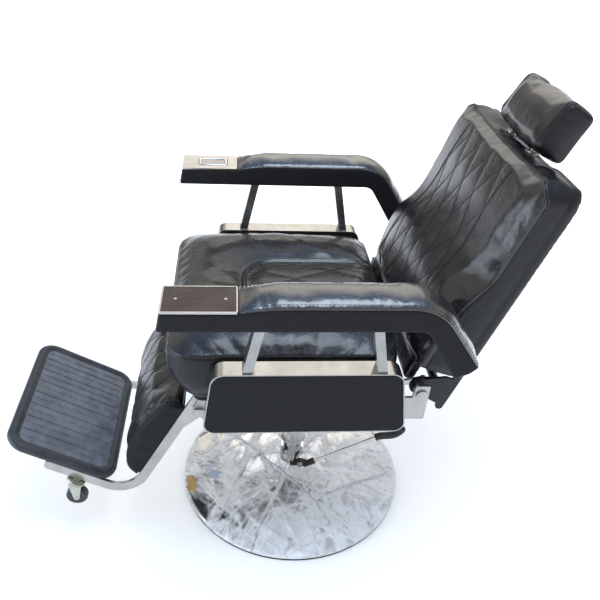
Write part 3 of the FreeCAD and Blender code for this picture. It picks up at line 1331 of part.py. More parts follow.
def build():
    """Builds and writes every node."""
    os.makedirs("parts", exist_ok=True)
    save("base_disc", base_shell())
    save("base_weight", base_weight())
    save("base_ring", base_ring())
    save("base_bolts", *base_bolts())
    save("pump_body", pump_body())
    save("lever_pin", lever_pin())
    save("pump_fork", pump_fork())
    save("pump_rod", pump_rod())
    save("pump_grip", pump_grip())
    save("pump_plunger", pump_plunger())
    save("pump_ram", pump_ram())
    save("column_sleeve", column_sleeve())
    save("thrust_washer", thrust_washer())
    save("swivel_nut", swivel_nut())
    save("swivel_plate", swivel_plate())
    save("seat_frame", seat_frame())
    save("seat_board", seat_board())
    save("seat_cushion", seat_cushion())
    save("pivot_pins", *pivot_pins())
    save("pivot_bushes", *pivot_bushes())
    save("lock_handle", lock_handle())
    for name, side in SIDES.items():
        save("hinge_plate_" + name, hinge_plate(side))
        save("side_band_" + name, side_band(side))
        save("outer_panel_" + name, side_panel(side, BOX_OUTER - PANEL_THICKNESS))
        save("inner_panel_" + name, side_panel(side, BOX_INNER))
        save("arm_posts_" + name, *arm_posts(side))
        save("arm_body_" + name, arm_body(side))
        save("arm_pad_" + name, arm_pad(side))
        save("leg_bar_" + name, leg_bar(side))
        save("caster_fork_" + name, caster_fork(side))
        save("caster_wheel_" + name, caster_wheel(side))
    save("plate_frame", plate_frame())
    save("wood_plate", wood_plate())
    save("plate_screws", *plate_screws())
    save("ashtray_plate", ashtray_plate())
    save("ashtray_bin", ashtray_bin())
    save("ashtray_lid", ashtray_lid())
    save("back_cushion", back_cushion())
    save("back_board", back_board())
    save("back_frame", back_frame())
    save("lock_quadrant", lock_quadrant())
    save("post_guides", *post_guides())
    save("headrest_posts", *headrest_posts())
    save("headrest_cushion", headrest_cushion())
    save("leg_cross", leg_cross())
    save("calf_board", calf_board())
    save("calf_pad", calf_pad())
    save("foot_tray", foot_tray())
    save("foot_mat", foot_mat())
    save("sync_links", *sync_links())


build()
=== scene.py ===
"""Looks of the hydraulic barber chair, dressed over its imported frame.

Lengths are metres in the frame of the solids: +Z is up, the chair faces -Y and
the sitter's left is +X. The back and the leg rest lean, so their covers are
drawn upright in a leaning frame of their own and then turned into place.
"""

import logging
import math
from dataclasses import dataclass, field
from enum import Enum
from typing import Callable, Iterable, Optional, Sequence

import bmesh
import bpy
import numpy as np
from mathutils import Matrix, Vector
from mathutils.bvhtree import BVHTree
from mathutils.kdtree import KDTree


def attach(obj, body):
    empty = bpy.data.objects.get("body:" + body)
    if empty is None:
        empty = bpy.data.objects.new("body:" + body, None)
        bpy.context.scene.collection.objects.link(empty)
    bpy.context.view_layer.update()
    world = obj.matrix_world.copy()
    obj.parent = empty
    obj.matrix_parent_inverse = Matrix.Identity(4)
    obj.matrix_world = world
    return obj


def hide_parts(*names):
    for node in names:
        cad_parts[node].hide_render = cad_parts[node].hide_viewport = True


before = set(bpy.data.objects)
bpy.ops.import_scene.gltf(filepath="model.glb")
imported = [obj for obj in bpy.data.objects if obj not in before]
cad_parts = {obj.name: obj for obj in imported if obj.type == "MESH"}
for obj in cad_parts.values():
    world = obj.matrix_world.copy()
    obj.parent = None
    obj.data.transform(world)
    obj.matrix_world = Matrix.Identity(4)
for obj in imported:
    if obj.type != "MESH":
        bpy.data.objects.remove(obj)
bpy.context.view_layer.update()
log = logging.getLogger("barber_chair")

Colour = tuple[float, float, float]
Point = tuple[float, float, float]


class Side(Enum):
    """Side of the chair, as the sitter sees it, with the sign of its X."""

    LEFT = 1
    RIGHT = -1

    @property
    def word(self) -> str:
        """Ending of this side's node names."""
        return self.name.lower()


class Stitch(Enum):
    """How far apart the stitches of a seam are, in metres."""

    FINE = 0.0050
    LONG = 0.0072


@dataclass(frozen=True)
class Lean:
    """Leaning frame of a sub-assembly that is drawn upright."""

    foot_y: float
    foot_z: float
    tilt: float

    def world(self, points: np.ndarray) -> np.ndarray:
        """Turns upright points into the chair's frame.

        Args:
            points: Rows of x, y, z in the upright frame.

        Returns:
            The same rows in the chair's frame.
        """
        c, s = math.cos(math.radians(self.tilt)), math.sin(math.radians(self.tilt))
        p = np.asarray(points, float)
        return np.column_stack([p[:, 0], self.foot_y + p[:, 1] * c + p[:, 2] * s,
                                self.foot_z - p[:, 1] * s + p[:, 2] * c])

    def upright(self, points: np.ndarray) -> np.ndarray:
        """Turns points of the chair's frame into upright ones.

        Args:
            points: Rows of x, y, z in the chair's frame.

        Returns:
            The same rows in the upright frame.
        """
        c, s = math.cos(math.radians(self.tilt)), math.sin(math.radians(self.tilt))
        p = np.asarray(points, float)
        dy, dz = p[:, 1] - self.foot_y, p[:, 2] - self.foot_z
        return np.column_stack([p[:, 0], dy * c - dz * s, dy * s + dz * c])


LEVEL = Lean(0.0, 0.0, 0.0)
BACK = Lean(0.215, 0.500, 20.0)
LEG = Lean(-0.215, 0.468, 29.0)
POST_X, POST_Y = 0.060, 0.048


class Nodes:
    """Small helper that lays out a material's shader nodes."""

    def __init__(self, name: str) -> None:
        """Starts a material with an empty node tree.

        Args:
            name: Name of the material.
        """
        self.material = bpy.data.materials.new(name)
        self.material.use_nodes = True
        self.tree = self.material.node_tree
        self.tree.nodes.clear()
        self.output = self.add("ShaderNodeOutputMaterial")
        self.place = self.add("ShaderNodeTexCoord").outputs["Object"]

    def add(self, kind: str, **settings: object) -> bpy.types.Node:
        """Adds a node and sets its properties.

        Args:
            kind: Type of the node.
            **settings: Its properties.

        Returns:
            The node.
        """
        node = self.tree.nodes.new(kind)
        for key, value in settings.items():
            setattr(node, key, value)
        return node

    def link(self, source: bpy.types.NodeSocket, target: bpy.types.NodeSocket) -> None:
        """Joins two sockets."""
        self.tree.links.new(source, target)

    def scaled(self, factors: Point) -> bpy.types.NodeSocket:
        """Object coordinates stretched along each axis.

        Args:
            factors: Stretch along X, Y and Z.

        Returns:
            The coordinates' socket.
        """
        node = self.add("ShaderNodeMapping")
        node.inputs["Scale"].default_value = factors
        self.link(self.place, node.inputs["Vector"])
        return node.outputs["Vector"]

    def noise(self, scale: float, detail: float = 3.0, rough: float = 0.5,
              vector: Optional[bpy.types.NodeSocket] = None, twist: float = 0.0) -> bpy.types.NodeSocket:
        """Cloudy noise over the surface.

        Args:
            scale: Cells per metre.
            detail: Number of finer layers.
            rough: Strength of the finer layers.
            vector: Coordinates, or None for the object's own.
            twist: Distortion of the clouds.

        Returns:
            The noise's value socket.
        """
        node = self.add("ShaderNodeTexNoise")
        node.inputs["Scale"].default_value = scale
        node.inputs["Detail"].default_value = detail
        node.inputs["Roughness"].default_value = rough
        node.inputs["Distortion"].default_value = twist
        self.link(vector or self.place, node.inputs["Vector"])
        return node.outputs["Fac"]

    def cells(self, scale: float) -> bpy.types.NodeSocket:
        """Distance from the middles of scattered cells, for grain.

        Args:
            scale: Cells per metre.

        Returns:
            The value's socket.
        """
        node = self.add("ShaderNodeTexVoronoi")
        node.inputs["Scale"].default_value = scale
        self.link(self.place, node.inputs["Vector"])
        return node.outputs["Distance"]

    def span(self, value: bpy.types.NodeSocket, low: float, high: float,
             start: float = 0.3, stop: float = 0.7) -> bpy.types.NodeSocket:
        """Maps a value from start..stop to low..high, held at both ends.

        Args:
            value: The value's socket.
            low: What start becomes.
            high: What stop becomes.
            start: Value that becomes low.
            stop: Value that becomes high.

        Returns:
            The mapped value's socket.
        """
        node = self.add("ShaderNodeMapRange")
        for key, number in (("From Min", start), ("From Max", stop), ("To Min", low), ("To Max", high)):
            node.inputs[key].default_value = number
        self.link(value, node.inputs["Value"])
        return node.outputs["Result"]

    def blend(self, factor: bpy.types.NodeSocket, first: Colour, second: Colour) -> bpy.types.NodeSocket:
        """Mixes two colours by a factor that changes over the surface.

        Args:
            factor: Share of the second colour.
            first: Colour at 0.
            second: Colour at 1.

        Returns:
            The colour's socket.
        """
        node = self.add("ShaderNodeMix", data_type="RGBA")
        ends = {"A": (*first, 1.0), "B": (*second, 1.0)}
        for socket in node.inputs:
            if socket.type == "RGBA":
                socket.default_value = ends[socket.name]
        self.link(factor, node.inputs["Factor"])
        return next(s for s in node.outputs if s.type == "RGBA")

    def bump(self, height: bpy.types.NodeSocket, distance: float, strength: float = 1.0,
             under: Optional[bpy.types.NodeSocket] = None) -> bpy.types.NodeSocket:
        """Relief from a height, laid over an earlier relief.

        Args:
            height: The height's socket.
            distance: What a height of 1 stands for, in metres.
            strength: Share of the relief that shows.
            under: The earlier relief, or None.

        Returns:
            The normal's socket.
        """
        node = self.add("ShaderNodeBump")
        node.inputs["Distance"].default_value = distance
        node.inputs["Strength"].default_value = strength
        self.link(height, node.inputs["Height"])
        if under is not None:
            self.link(under, node.inputs["Normal"])
        return node.outputs["Normal"]

    def soft_edges(self, radius: float) -> bpy.types.NodeSocket:
        """Normal that rounds sharp edges by a radius.

        Args:
            radius: The radius in metres.

        Returns:
            The normal's socket.
        """
        node = self.add("ShaderNodeBevel", samples=4)
        node.inputs["Radius"].default_value = radius
        return node.outputs["Normal"]

    def shader(self, **sockets: object) -> None:
        """Adds the surface shader and joins it to the output.

        Args:
            **sockets: Values or source sockets, with underscores for spaces.
        """
        node = self.add("ShaderNodeBsdfPrincipled")
        for key, value in sockets.items():
            socket = node.inputs[key.replace("_", " ")]
            if isinstance(value, bpy.types.NodeSocket):
                self.link(value, socket)
            else:
                socket.default_value = value
        self.link(node.outputs["BSDF"], self.output.inputs["Surface"])


@dataclass(frozen=True)
class Leather:
    """Black upholstery cover with grain, fine creases and a worn sheen."""

    name: str
    colour: Colour = (0.007, 0.007, 0.008)
    worn: Colour = (0.017, 0.015, 0.014)
    smooth: float = 0.20
    rough: float = 0.38
    grain: float = 0.00022
    crease: float = 0.0011
    stretch: Point = (1.0, 1.0, 1.0)
    gloss: float = 0.6
    coat: float = 0.5

    def material(self) -> bpy.types.Material:
        """Builds the finish's material.

        Returns:
            The material.
        """
        n = Nodes(self.name)
        wear = n.noise(14.0, 5.0, 0.62)
        fine = n.cells(620.0)
        pores = n.noise(1500.0, 2.0)
        folds = n.noise(46.0, 4.0, 0.62, n.scaled(self.stretch), 1.4)
        waves = n.noise(17.0, 2.0, 0.5, None, 0.6)
        normal = n.bump(waves, 0.0014)
        normal = n.bump(folds, self.crease, 1.0, normal)
        normal = n.bump(fine, self.grain, 0.8, normal)
        normal = n.bump(pores, self.grain * 0.5, 0.6, normal)
        n.shader(Base_Color=n.blend(n.span(wear, 0.0, 1.0), self.colour, self.worn),
                 Roughness=n.span(wear, self.smooth, self.rough), Specular_IOR_Level=self.gloss,
                 Coat_Weight=self.coat, Coat_Roughness=0.14, Normal=normal)
        return n.material


@dataclass(frozen=True)
class Metal:
    """Bright or brushed metal with smudges, hairlines and rounded edges."""

    name: str
    colour: Colour
    smudge: Colour
    smooth: float
    rough: float
    brush: Point = (1.0, 1.0, 1.0)
    hairline: float = 0.00002
    edge: float = 0.0006

    def material(self) -> bpy.types.Material:
        """Builds the finish's material.

        Returns:
            The material.
        """
        n = Nodes(self.name)
        cloud = n.noise(22.0, 4.0, 0.6)
        lines = n.noise(900.0, 2.0, 0.5, n.scaled(self.brush))
        normal = n.bump(lines, self.hairline, 1.0, n.soft_edges(self.edge))
        n.shader(Base_Color=n.blend(n.span(cloud, 0.0, 1.0), self.colour, self.smudge),
                 Metallic=1.0, Roughness=n.span(cloud, self.smooth, self.rough), Normal=normal)
        return n.material


@dataclass(frozen=True)
class Paint:
    """Sprayed paint, or a coated paper, with a slight orange peel."""

    name: str
    colour: Colour
    dusty: Colour
    smooth: float = 0.3
    rough: float = 0.5
    metallic: float = 0.0
    coat: float = 0.15

    def material(self) -> bpy.types.Material:
        """Builds the finish's material.

        Returns:
            The material.
        """
        n = Nodes(self.name)
        cloud = n.noise(30.0, 4.0, 0.6)
        peel = n.noise(420.0, 2.0)
        normal = n.bump(peel, 0.00012, 0.7, n.soft_edges(0.0008))
        n.shader(Base_Color=n.blend(n.span(cloud, 0.0, 1.0), self.colour, self.dusty), Metallic=self.metallic,
                 Roughness=n.span(cloud, self.smooth, self.rough), Specular_IOR_Level=0.35,
                 Coat_Weight=self.coat, Coat_Roughness=0.2, Normal=normal)
        return n.material


@dataclass(frozen=True)
class Rubber:
    """Moulded rubber with dust and a fine pitted skin."""

    name: str
    colour: Colour
    dusty: Colour
    rough: float = 0.62
    pit: float = 0.00018

    def material(self) -> bpy.types.Material:
        """Builds the finish's material.

        Returns:
            The material.
        """
        n = Nodes(self.name)
        dust = n.noise(26.0, 6.0, 0.68)
        pits = n.noise(800.0, 3.0)
        normal = n.bump(pits, self.pit, 0.8, n.soft_edges(0.0012))
        n.shader(Base_Color=n.blend(n.span(dust, 0.0, 1.0, 0.42, 0.66), self.colour, self.dusty),
                 Roughness=n.span(dust, self.rough - 0.14, self.rough + 0.12), Specular_IOR_Level=0.4,
                 Normal=normal)
        return n.material


@dataclass(frozen=True)
class Wood:
    """Lacquered wood with its grain along Y."""

    name: str
    light: Colour
    dark: Colour
    coat: float
    rough: float
    grain: Point = (60.0, 5.0, 60.0)

    def material(self) -> bpy.types.Material:
        """Builds the finish's material.

        Returns:
            The material.
        """
        n = Nodes(self.name)
        streaks = n.noise(1.0, 6.0, 0.62, n.scaled(self.grain), 1.6)
        pores = n.noise(1.0, 2.0, 0.5, n.scaled((900.0, 60.0, 900.0)))
        haze = n.noise(18.0, 3.0)
        normal = n.bump(pores, 0.00006, 0.5, n.soft_edges(0.0008))
        n.shader(Base_Color=n.blend(n.span(streaks, 0.0, 1.0, 0.36, 0.66), self.dark, self.light),
                 Roughness=n.span(haze, self.rough, self.rough + 0.15), Specular_IOR_Level=0.35,
                 Coat_Weight=self.coat, Coat_Roughness=0.16, Normal=normal)
        return n.material


@dataclass(frozen=True)
class Film:
    """Clear crumpled packing film: pale creases in many directions, partly whitened film and partly painted
    highlight, over a veil of uneven milkiness that grows whiter towards one side as painted light.
    """

    name: str
    colour: Colour = (0.97, 0.98, 1.0)
    # Direction towards which the film is painted whiter, as painted light.
    painted_light_side: Point = (1.3, 2.0, 0.0)
    stretch: float = 6.0
    folds: tuple[tuple[float, float, float, float], ...] = (
        (6.0, 0.45, 0.030, 1.0), (7.0, 1.25, 0.026, 0.9), (6.5, 2.15, 0.030, 1.0),
        (9.0, -0.35, 0.030, 0.8), (14.0, 0.80, 0.045, 0.65), (17.0, 1.80, 0.045, 0.65),
        (19.0, 2.70, 0.045, 0.6), (30.0, 1.10, 0.055, 0.30), (34.0, 2.30, 0.055, 0.30))

    def material(self) -> bpy.types.Material:
        """Builds the finish's material; folds are scale, direction, width and weight.

        Returns:
            The material.
        """
        n = Nodes(self.name)
        # Painted light: the white veil thickens towards +X and +Y, standing in for the brighter light on that
        # side of the film.
        side = n.add("ShaderNodeVectorMath", operation="DOT_PRODUCT")
        side.inputs[1].default_value = self.painted_light_side
        n.link(n.place, side.inputs[0])
        veil = self.total(n, n.span(n.noise(7.0, 3.0, 0.5, None, 1.2), 0.02, 0.55, 0.47, 0.53),
                          n.span(side.outputs["Value"], 0.0, 0.60, -0.05, 0.45))
        relief = n.bump(n.noise(16.0, 3.0, 0.55, None, 1.2), 0.006)
        # Each crease layer raises the white veil along its lines: partly whitened film, partly painted
        # highlight.
        for scale, turn, width, weight in self.folds:
            line = self.crease(n, scale, turn, width)
            veil = self.total(n, veil, n.span(line, 0.0, weight, 0.0, 1.0))
            relief = n.bump(line, 0.03 / scale, 1.0, relief)
        n.shader(Base_Color=(*self.colour, 1.0), Roughness=0.08, IOR=1.5, Alpha=veil,
                 Specular_IOR_Level=0.9, Normal=relief)
        return n.material

    def crease(self, n: Nodes, scale: float, turn: float, width: float) -> bpy.types.NodeSocket:
        """Long, thin, nearly straight creases along one direction, in patches.

        Args:
            n: The material's nodes.
            scale: How close together they are, per metre.
            turn: Their direction, in radians.
            width: How far from its middle a crease fades out.

        Returns:
            A value of 1 on the creases and 0 between them.
        """
        mapping = n.add("ShaderNodeMapping", vector_type="TEXTURE")
        mapping.inputs["Scale"].default_value = (1.0, self.stretch, 1.0)
        mapping.inputs["Rotation"].default_value = (0.0, 0.0, turn)
        mapping.inputs["Location"].default_value = (turn * 3.1, turn * 1.7, 0.0)
        n.link(n.place, mapping.inputs["Vector"])
        place = mapping.outputs["Vector"]
        away = n.add("ShaderNodeMath", operation="SUBTRACT")
        away.inputs[1].default_value = 0.5
        n.link(n.noise(scale, 3.0, 0.55, place, 0.2), away.inputs[0])
        size = n.add("ShaderNodeMath", operation="ABSOLUTE")
        n.link(away.outputs["Value"], size.inputs[0])
        both = n.add("ShaderNodeMath", operation="MULTIPLY")
        n.link(n.span(size.outputs["Value"], 1.0, 0.0, 0.0, width), both.inputs[0])
        n.link(n.span(n.noise(scale * 0.8, 1.0, 0.5, place), 0.0, 1.0, 0.48, 0.56), both.inputs[1])
        return both.outputs["Value"]

    def total(self, n: Nodes, first: bpy.types.NodeSocket,
              second: bpy.types.NodeSocket) -> bpy.types.NodeSocket:
        """Sum of two values, held between 0 and 1.

        Args:
            n: The material's nodes.
            first: One value.
            second: The other.

        Returns:
            The sum's socket.
        """
        node = n.add("ShaderNodeMath", operation="ADD", use_clamp=True)
        n.link(first, node.inputs[0])
        n.link(second, node.inputs[1])
        return node.outputs["Value"]


@dataclass(frozen=True)
class Thread:
    """Twisted sewing thread."""

    name: str
    colour: Colour
    shade: Colour

    def material(self) -> bpy.types.Material:
        """Builds the finish's material.

        Returns:
            The material.
        """
        n = Nodes(self.name)
        twist = n.noise(2200.0, 2.0)
        n.shader(Base_Color=n.blend(n.span(twist, 0.0, 1.0), self.shade, self.colour), Roughness=0.55,
                 Normal=n.bump(twist, 0.0002))
        return n.material


class Wardrobe:
    """Every finish of the chair, built once and handed out by name."""

    def __init__(self) -> None:
        """Lists the finishes."""
        finishes = [
            Leather("seat_leather", gloss=0.5, coat=0.35),
            Leather("back_leather", (0.006, 0.006, 0.007), (0.014, 0.012, 0.012), 0.16, 0.30,
                    stretch=(1.0, 0.7, 0.5), gloss=0.5, coat=0.3),
            Leather("calf_leather", (0.005, 0.005, 0.006), (0.010, 0.010, 0.010), 0.20, 0.36,
                    gloss=0.4, coat=0.15),
            Leather("arm_leather", worn=(0.030, 0.027, 0.024), smooth=0.16, rough=0.32,
                    stretch=(0.5, 1.4, 1.0), crease=0.0014, gloss=0.8, coat=0.9),
            Leather("boxing_leather", (0.006, 0.006, 0.007), (0.010, 0.010, 0.011), 0.26, 0.38, 0.0003,
                    0.0003, gloss=0.32, coat=0.0),
            Leather("side_leather", (0.010, 0.010, 0.011), (0.013, 0.013, 0.014), 0.5, 0.62, 0.0003,
                    0.0002, gloss=0.18, coat=0.0),
            Metal("polished_chrome", (0.80, 0.79, 0.77), (0.70, 0.69, 0.66), 0.04, 0.12),
            Metal("dull_chrome", (0.44, 0.43, 0.41), (0.36, 0.35, 0.33), 0.12, 0.22),
            Metal("satin_chrome", (0.38, 0.375, 0.36), (0.30, 0.295, 0.28), 0.20, 0.34, (0.05, 1.0, 1.0),
                  0.00004),
            Metal("bare_steel", (0.56, 0.55, 0.53), (0.42, 0.41, 0.39), 0.26, 0.42, (1.0, 1.0, 0.06),
                  0.00004),
            Metal("bar_steel", (0.48, 0.47, 0.43), (0.38, 0.37, 0.34), 0.22, 0.38, (0.2, 1.0, 1.0),
                  0.00003),
            Metal("zinc", (0.55, 0.57, 0.49), (0.38, 0.40, 0.33), 0.26, 0.44),
            Paint("grey_paint", (0.50, 0.49, 0.47), (0.38, 0.37, 0.35), metallic=0.35),
            Paint("black_paint", (0.010, 0.010, 0.011), (0.028, 0.028, 0.028), coat=0.0),
            Rubber("black_rubber", (0.018, 0.018, 0.019), (0.05, 0.05, 0.05)),
            Rubber("mat_rubber", (0.026, 0.029, 0.034), (0.050, 0.055, 0.063), 0.46),
            # Paler rubber for the mat's field: a painted sheen, lighter in the middle than at the border.
            Rubber("painted_sheen_rubber", (0.095, 0.104, 0.120), (0.180, 0.195, 0.222), 0.40),
            Rubber("wheel_rubber", (0.02, 0.02, 0.02), (0.06, 0.06, 0.06), 0.42),
            Wood("mahogany", (0.046, 0.014, 0.010), (0.014, 0.005, 0.004), 0.1, 0.30),
            Film("clear_film"),
            Paint("kraft_tape", (0.62, 0.39, 0.14), (0.48, 0.29, 0.10), coat=0.1),
            Thread("black_thread", (0.05, 0.05, 0.055), (0.012, 0.012, 0.014)),
            Thread("pale_thread", (0.40, 0.40, 0.37), (0.16, 0.16, 0.15)),
            Thread("grey_thread", (0.16, 0.16, 0.16), (0.05, 0.05, 0.05)),
            # Near-black finish for the painted shade lines laid in the leather's creases.
            Thread("painted_crease_shade", (0.004, 0.004, 0.004), (0.002, 0.002, 0.002)),
        ]
        self.built = {finish.name: finish.material() for finish in finishes}

    def dress(self, piece: bpy.types.Object, name: str) -> None:
        """Puts one finish on a whole piece."""
        piece.data.materials.clear()
        piece.data.materials.append(self.built[name])

    def fit(self, piece: bpy.types.Object, name: str, slot: str, body: str) -> None:
        """Puts a finish on a piece and lets it ride on a body.

        Args:
            piece: The new piece.
            name: Name of the finish.
            slot: Not used.
            body: Body that it moves with.
        """
        self.dress(piece, name)
        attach(piece, body)

    def board(self, node: str, name: str, voxel: float, rounds: int) -> None:
        """Covers a board or body of the seat in leather, as an evened copy of its solid.

        Args:
            node: The solid that the copy replaces.
            name: Name of the new piece.
            voxel: Size of its faces.
            rounds: How often its points are evened out.
        """
        piece = solid_copy(node, name, voxel, rounds)
        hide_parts(node)
        self.fit(piece, "side_leather", "leather", "seat")

    def dress_node(self, node: str, name: str) -> None:
        """Puts a finish on a solid of the frame.

        Args:
            node: Name of the solid.
            name: Name of the finish.
        """
        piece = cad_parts[node]
        for slot in piece.material_slots:
            slot.material = self.built[name]
        if not piece.material_slots:
            piece.data.materials.append(self.built[name])


def link(name: str, mesh: bpy.types.Mesh) -> bpy.types.Object:
    """Makes an object of a mesh and puts it in the scene.

    Args:
        name: Name of the object.
        mesh: Its mesh.

    Returns:
        The new object.
    """
    piece = bpy.data.objects.new(name, mesh)
    bpy.context.scene.collection.objects.link(piece)
    return piece


def mesh_piece(name: str, points: Iterable[Sequence[float]],
               faces: Iterable[Sequence[int]]) -> bpy.types.Object:
    """Makes a smoothly shaded mesh object from points and faces.

    Args:
        name: Name of the piece.
        points: Rows of x, y, z.
        faces: Rows of point numbers.

    Returns:
        The new object.
    """
    mesh = bpy.data.meshes.new(name)
    mesh.from_pydata([tuple(map(float, p)) for p in points], [], [tuple(map(int, f)) for f in faces])
    mesh.update()
    mesh.shade_smooth()
    return link(name, mesh)


def read_rows(items: bpy.types.bpy_prop_collection, name: str) -> np.ndarray:
    """Reads one property of three numbers from a mesh.

    Args:
        items: The points or normals of the mesh.
        name: Name of the property.

    Returns:
        One row for each item.
    """
    values = np.empty(len(items) * 3, np.float32)
    items.foreach_get(name, values)
    return values.reshape(-1, 3).astype(float)


def coordinates(mesh: bpy.types.Mesh) -> np.ndarray:
    """Rows of x, y, z of a mesh's points."""
    return read_rows(mesh.vertices, "co")


def normals(mesh: bpy.types.Mesh) -> np.ndarray:
    """Rows of the unit normals of a mesh's points."""
    return read_rows(mesh.vertex_normals, "vector")


def move_points(mesh: bpy.types.Mesh, points: np.ndarray) -> None:
    """Writes new places to a mesh's points."""
    mesh.vertices.foreach_set("co", points.astype(np.float32).ravel())
    mesh.update()


def settle(piece: bpy.types.Object) -> None:
    """Applies every modifier of a piece to its mesh.

    Args:
        piece: The piece.
    """
    depsgraph = bpy.context.evaluated_depsgraph_get()
    mesh = bpy.data.meshes.new_from_object(piece.evaluated_get(depsgraph))
    piece.modifiers.clear()
    piece.data = mesh


def rework(piece: bpy.types.Object, change: Callable[[bmesh.types.BMesh], object]) -> None:
    """Runs one mesh operation on a piece.

    Args:
        piece: The piece.
        change: The operation, given the mesh in editable form.
    """
    work = bmesh.new()
    work.from_mesh(piece.data)
    change(work)
    work.to_mesh(piece.data)
    work.free()


def smooth_steps(value: np.ndarray, low: float, high: float) -> np.ndarray:
    """Rises smoothly from 0 at low to 1 at high."""
    t = np.clip((value - low) / (high - low), 0.0, 1.0)
    return t * t * (3 - 2 * t)


def near_posts(points: np.ndarray, reach: float) -> np.ndarray:
    """How near upright points of the back are to the headrest's posts, 1 at their middles."""
    away = np.hypot(np.abs(points[:, 0]) - POST_X, points[:, 1] - POST_Y)
    return np.exp(-(away / reach) ** 2)


def everywhere(points: np.ndarray) -> np.ndarray:
    """Full share of a crease's painted shade line at every point."""
    return np.ones(len(points))


def beyond_corner(over_x: np.ndarray, over_y: np.ndarray, corner: float) -> np.ndarray:
    """Signed distance outside a rounded corner.

    Args:
        over_x: Distances past the corner's middle across.
        over_y: Distances past its middle along.
        corner: Its radius.

    Returns:
        Distances, below 0 inside.
    """
    bent = np.hypot(np.maximum(over_x, 0), np.maximum(over_y, 0))
    return bent + np.minimum(np.maximum(over_x, over_y), 0) - corner


def grid_faces(rows: int, columns: int, closed: bool = False, flipped: bool = False) -> list[Sequence[int]]:
    """Quads over points laid out in rows.

    Args:
        rows: Number of rows.
        columns: Points in a row.
        closed: Whether each row runs back to its start.
        flipped: Whether the quads face the other way.

    Returns:
        Rows of point numbers.
    """
    last = columns if closed else columns - 1
    faces = [(i * columns + j, (i + 1) * columns + j, (i + 1) * columns + (j + 1) % columns,
              i * columns + (j + 1) % columns) for i in range(rows - 1) for j in range(last)]
    return [(a, d, c, b) for a, b, c, d in faces] if flipped else faces


def spread(grid: np.ndarray, times: int, pick: Callable[..., np.ndarray]) -> np.ndarray:
    """Replaces each cell of a grid by the largest or mean of its neighbours, some times over.

    Args:
        grid: Rows of numbers.
        times: How many times over.
        pick: The mean or the largest of a list of grids.

    Returns:
        The new grid.
    """
    rows, columns = grid.shape
    for _ in range(times):
        edged = np.pad(grid, 1, mode="edge")
        grid = pick([edged[i:i + rows, j:j + columns] for i in range(3) for j in range(3)], axis=0)
    return grid


def solid_copy(node: str, name: str, voxel: float, rounds: int) -> bpy.types.Object:
    """Even, closed copy of one of the frame's solids, its sharp edges a little rounded.

    Args:
        node: Name of the solid.
        name: Name of the new piece.
        voxel: Size of its faces in metres.
        rounds: How often its points are evened out.

    Returns:
        The new object.
    """
    piece = link(name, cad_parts[node].data.copy())
    rework(piece, lambda work: bmesh.ops.remove_doubles(work, verts=work.verts, dist=1e-5))
    remesh = piece.modifiers.new("remesh", "REMESH")
    remesh.mode = "VOXEL"
    remesh.voxel_size = voxel
    even = piece.modifiers.new("even", "SMOOTH")
    even.iterations = rounds
    settle(piece)
    piece.data.shade_smooth()
    return piece


def subdivide(piece: bpy.types.Object) -> None:
    """Subdivides a piece smoothly once and applies it.

    Args:
        piece: The piece.
    """
    modifier = piece.modifiers.new("subdivide", "SUBSURF")
    modifier.levels = modifier.render_levels = 1
    settle(piece)
    piece.data.shade_smooth()


@dataclass
class Puff:
    """How a cover is blown up over its foam by a cloth simulation."""

    cap: float
    pressure: float = 4.0
    spare: float = 0.03
    mass: float = 0.3
    quality: int = 4
    stretch_stiffness: float = 12.0
    bending_stiffness: float = 0.6
    frames: int = 20
    passes: int = 28
    wrinkles: float = 0.20

    def broad(self, mesh: bpy.types.Mesh, moved: np.ndarray) -> np.ndarray:
        """The soft part of a movement, with its wrinkles averaged out along the mesh.

        Args:
            mesh: The cover's mesh.
            moved: Movement of each point.

        Returns:
            The smoothed movement.
        """
        ends = np.array([edge.vertices[:] for edge in mesh.edges])
        first, second = ends.T
        count = len(moved)
        joined = np.bincount(ends.ravel(), minlength=count)[:, None]
        for _ in range(self.passes):
            total = np.column_stack([np.bincount(first, moved[second, axis], count)
                                     + np.bincount(second, moved[first, axis], count) for axis in range(3)])
            moved = (moved + total / np.maximum(joined, 1)) / 2
        return moved

    def blow(self, piece: bpy.types.Object, held: np.ndarray) -> None:
        """Runs the simulation and writes its result to the mesh.

        Args:
            piece: The cover, already evenly meshed.
            held: For each point, how firmly it is held, from 0 to 1.
        """
        start = coordinates(piece.data)
        group = piece.vertex_groups.new(name="held")
        held = np.round(held, 1)
        for weight in np.unique(held[held > 0]):
            group.add(np.nonzero(held == weight)[0].tolist(), float(weight), "REPLACE")
        cloth = piece.modifiers.new("cloth", "CLOTH")
        settings = cloth.settings
        settings.quality = self.quality
        settings.mass = self.mass
        settings.use_pressure = True
        settings.uniform_pressure_force = self.pressure
        settings.vertex_group_mass = "held"
        settings.shrink_min = -self.spare
        settings.tension_stiffness = settings.compression_stiffness = self.stretch_stiffness
        settings.bending_stiffness = self.bending_stiffness
        settings.effector_weights.gravity = 0
        cloth.collision_settings.use_self_collision = False
        cloth.point_cache.frame_start = 1
        cloth.point_cache.frame_end = self.frames
        scene = bpy.context.scene
        for number in range(1, self.frames + 1):
            scene.frame_set(number)
        blown = piece.evaluated_get(bpy.context.evaluated_depsgraph_get()).to_mesh()
        moved = coordinates(blown) - start
        soft = self.broad(piece.data, moved)
        moved = soft + (moved - soft) * self.wrinkles
        piece.modifiers.clear()
        piece.vertex_groups.clear()
        length = np.linalg.norm(moved, axis=1, keepdims=True)
        moved *= np.minimum(1.0, self.cap / np.maximum(length, 1e-9))
        move_points(piece.data, start + moved)
        scene.frame_set(1)


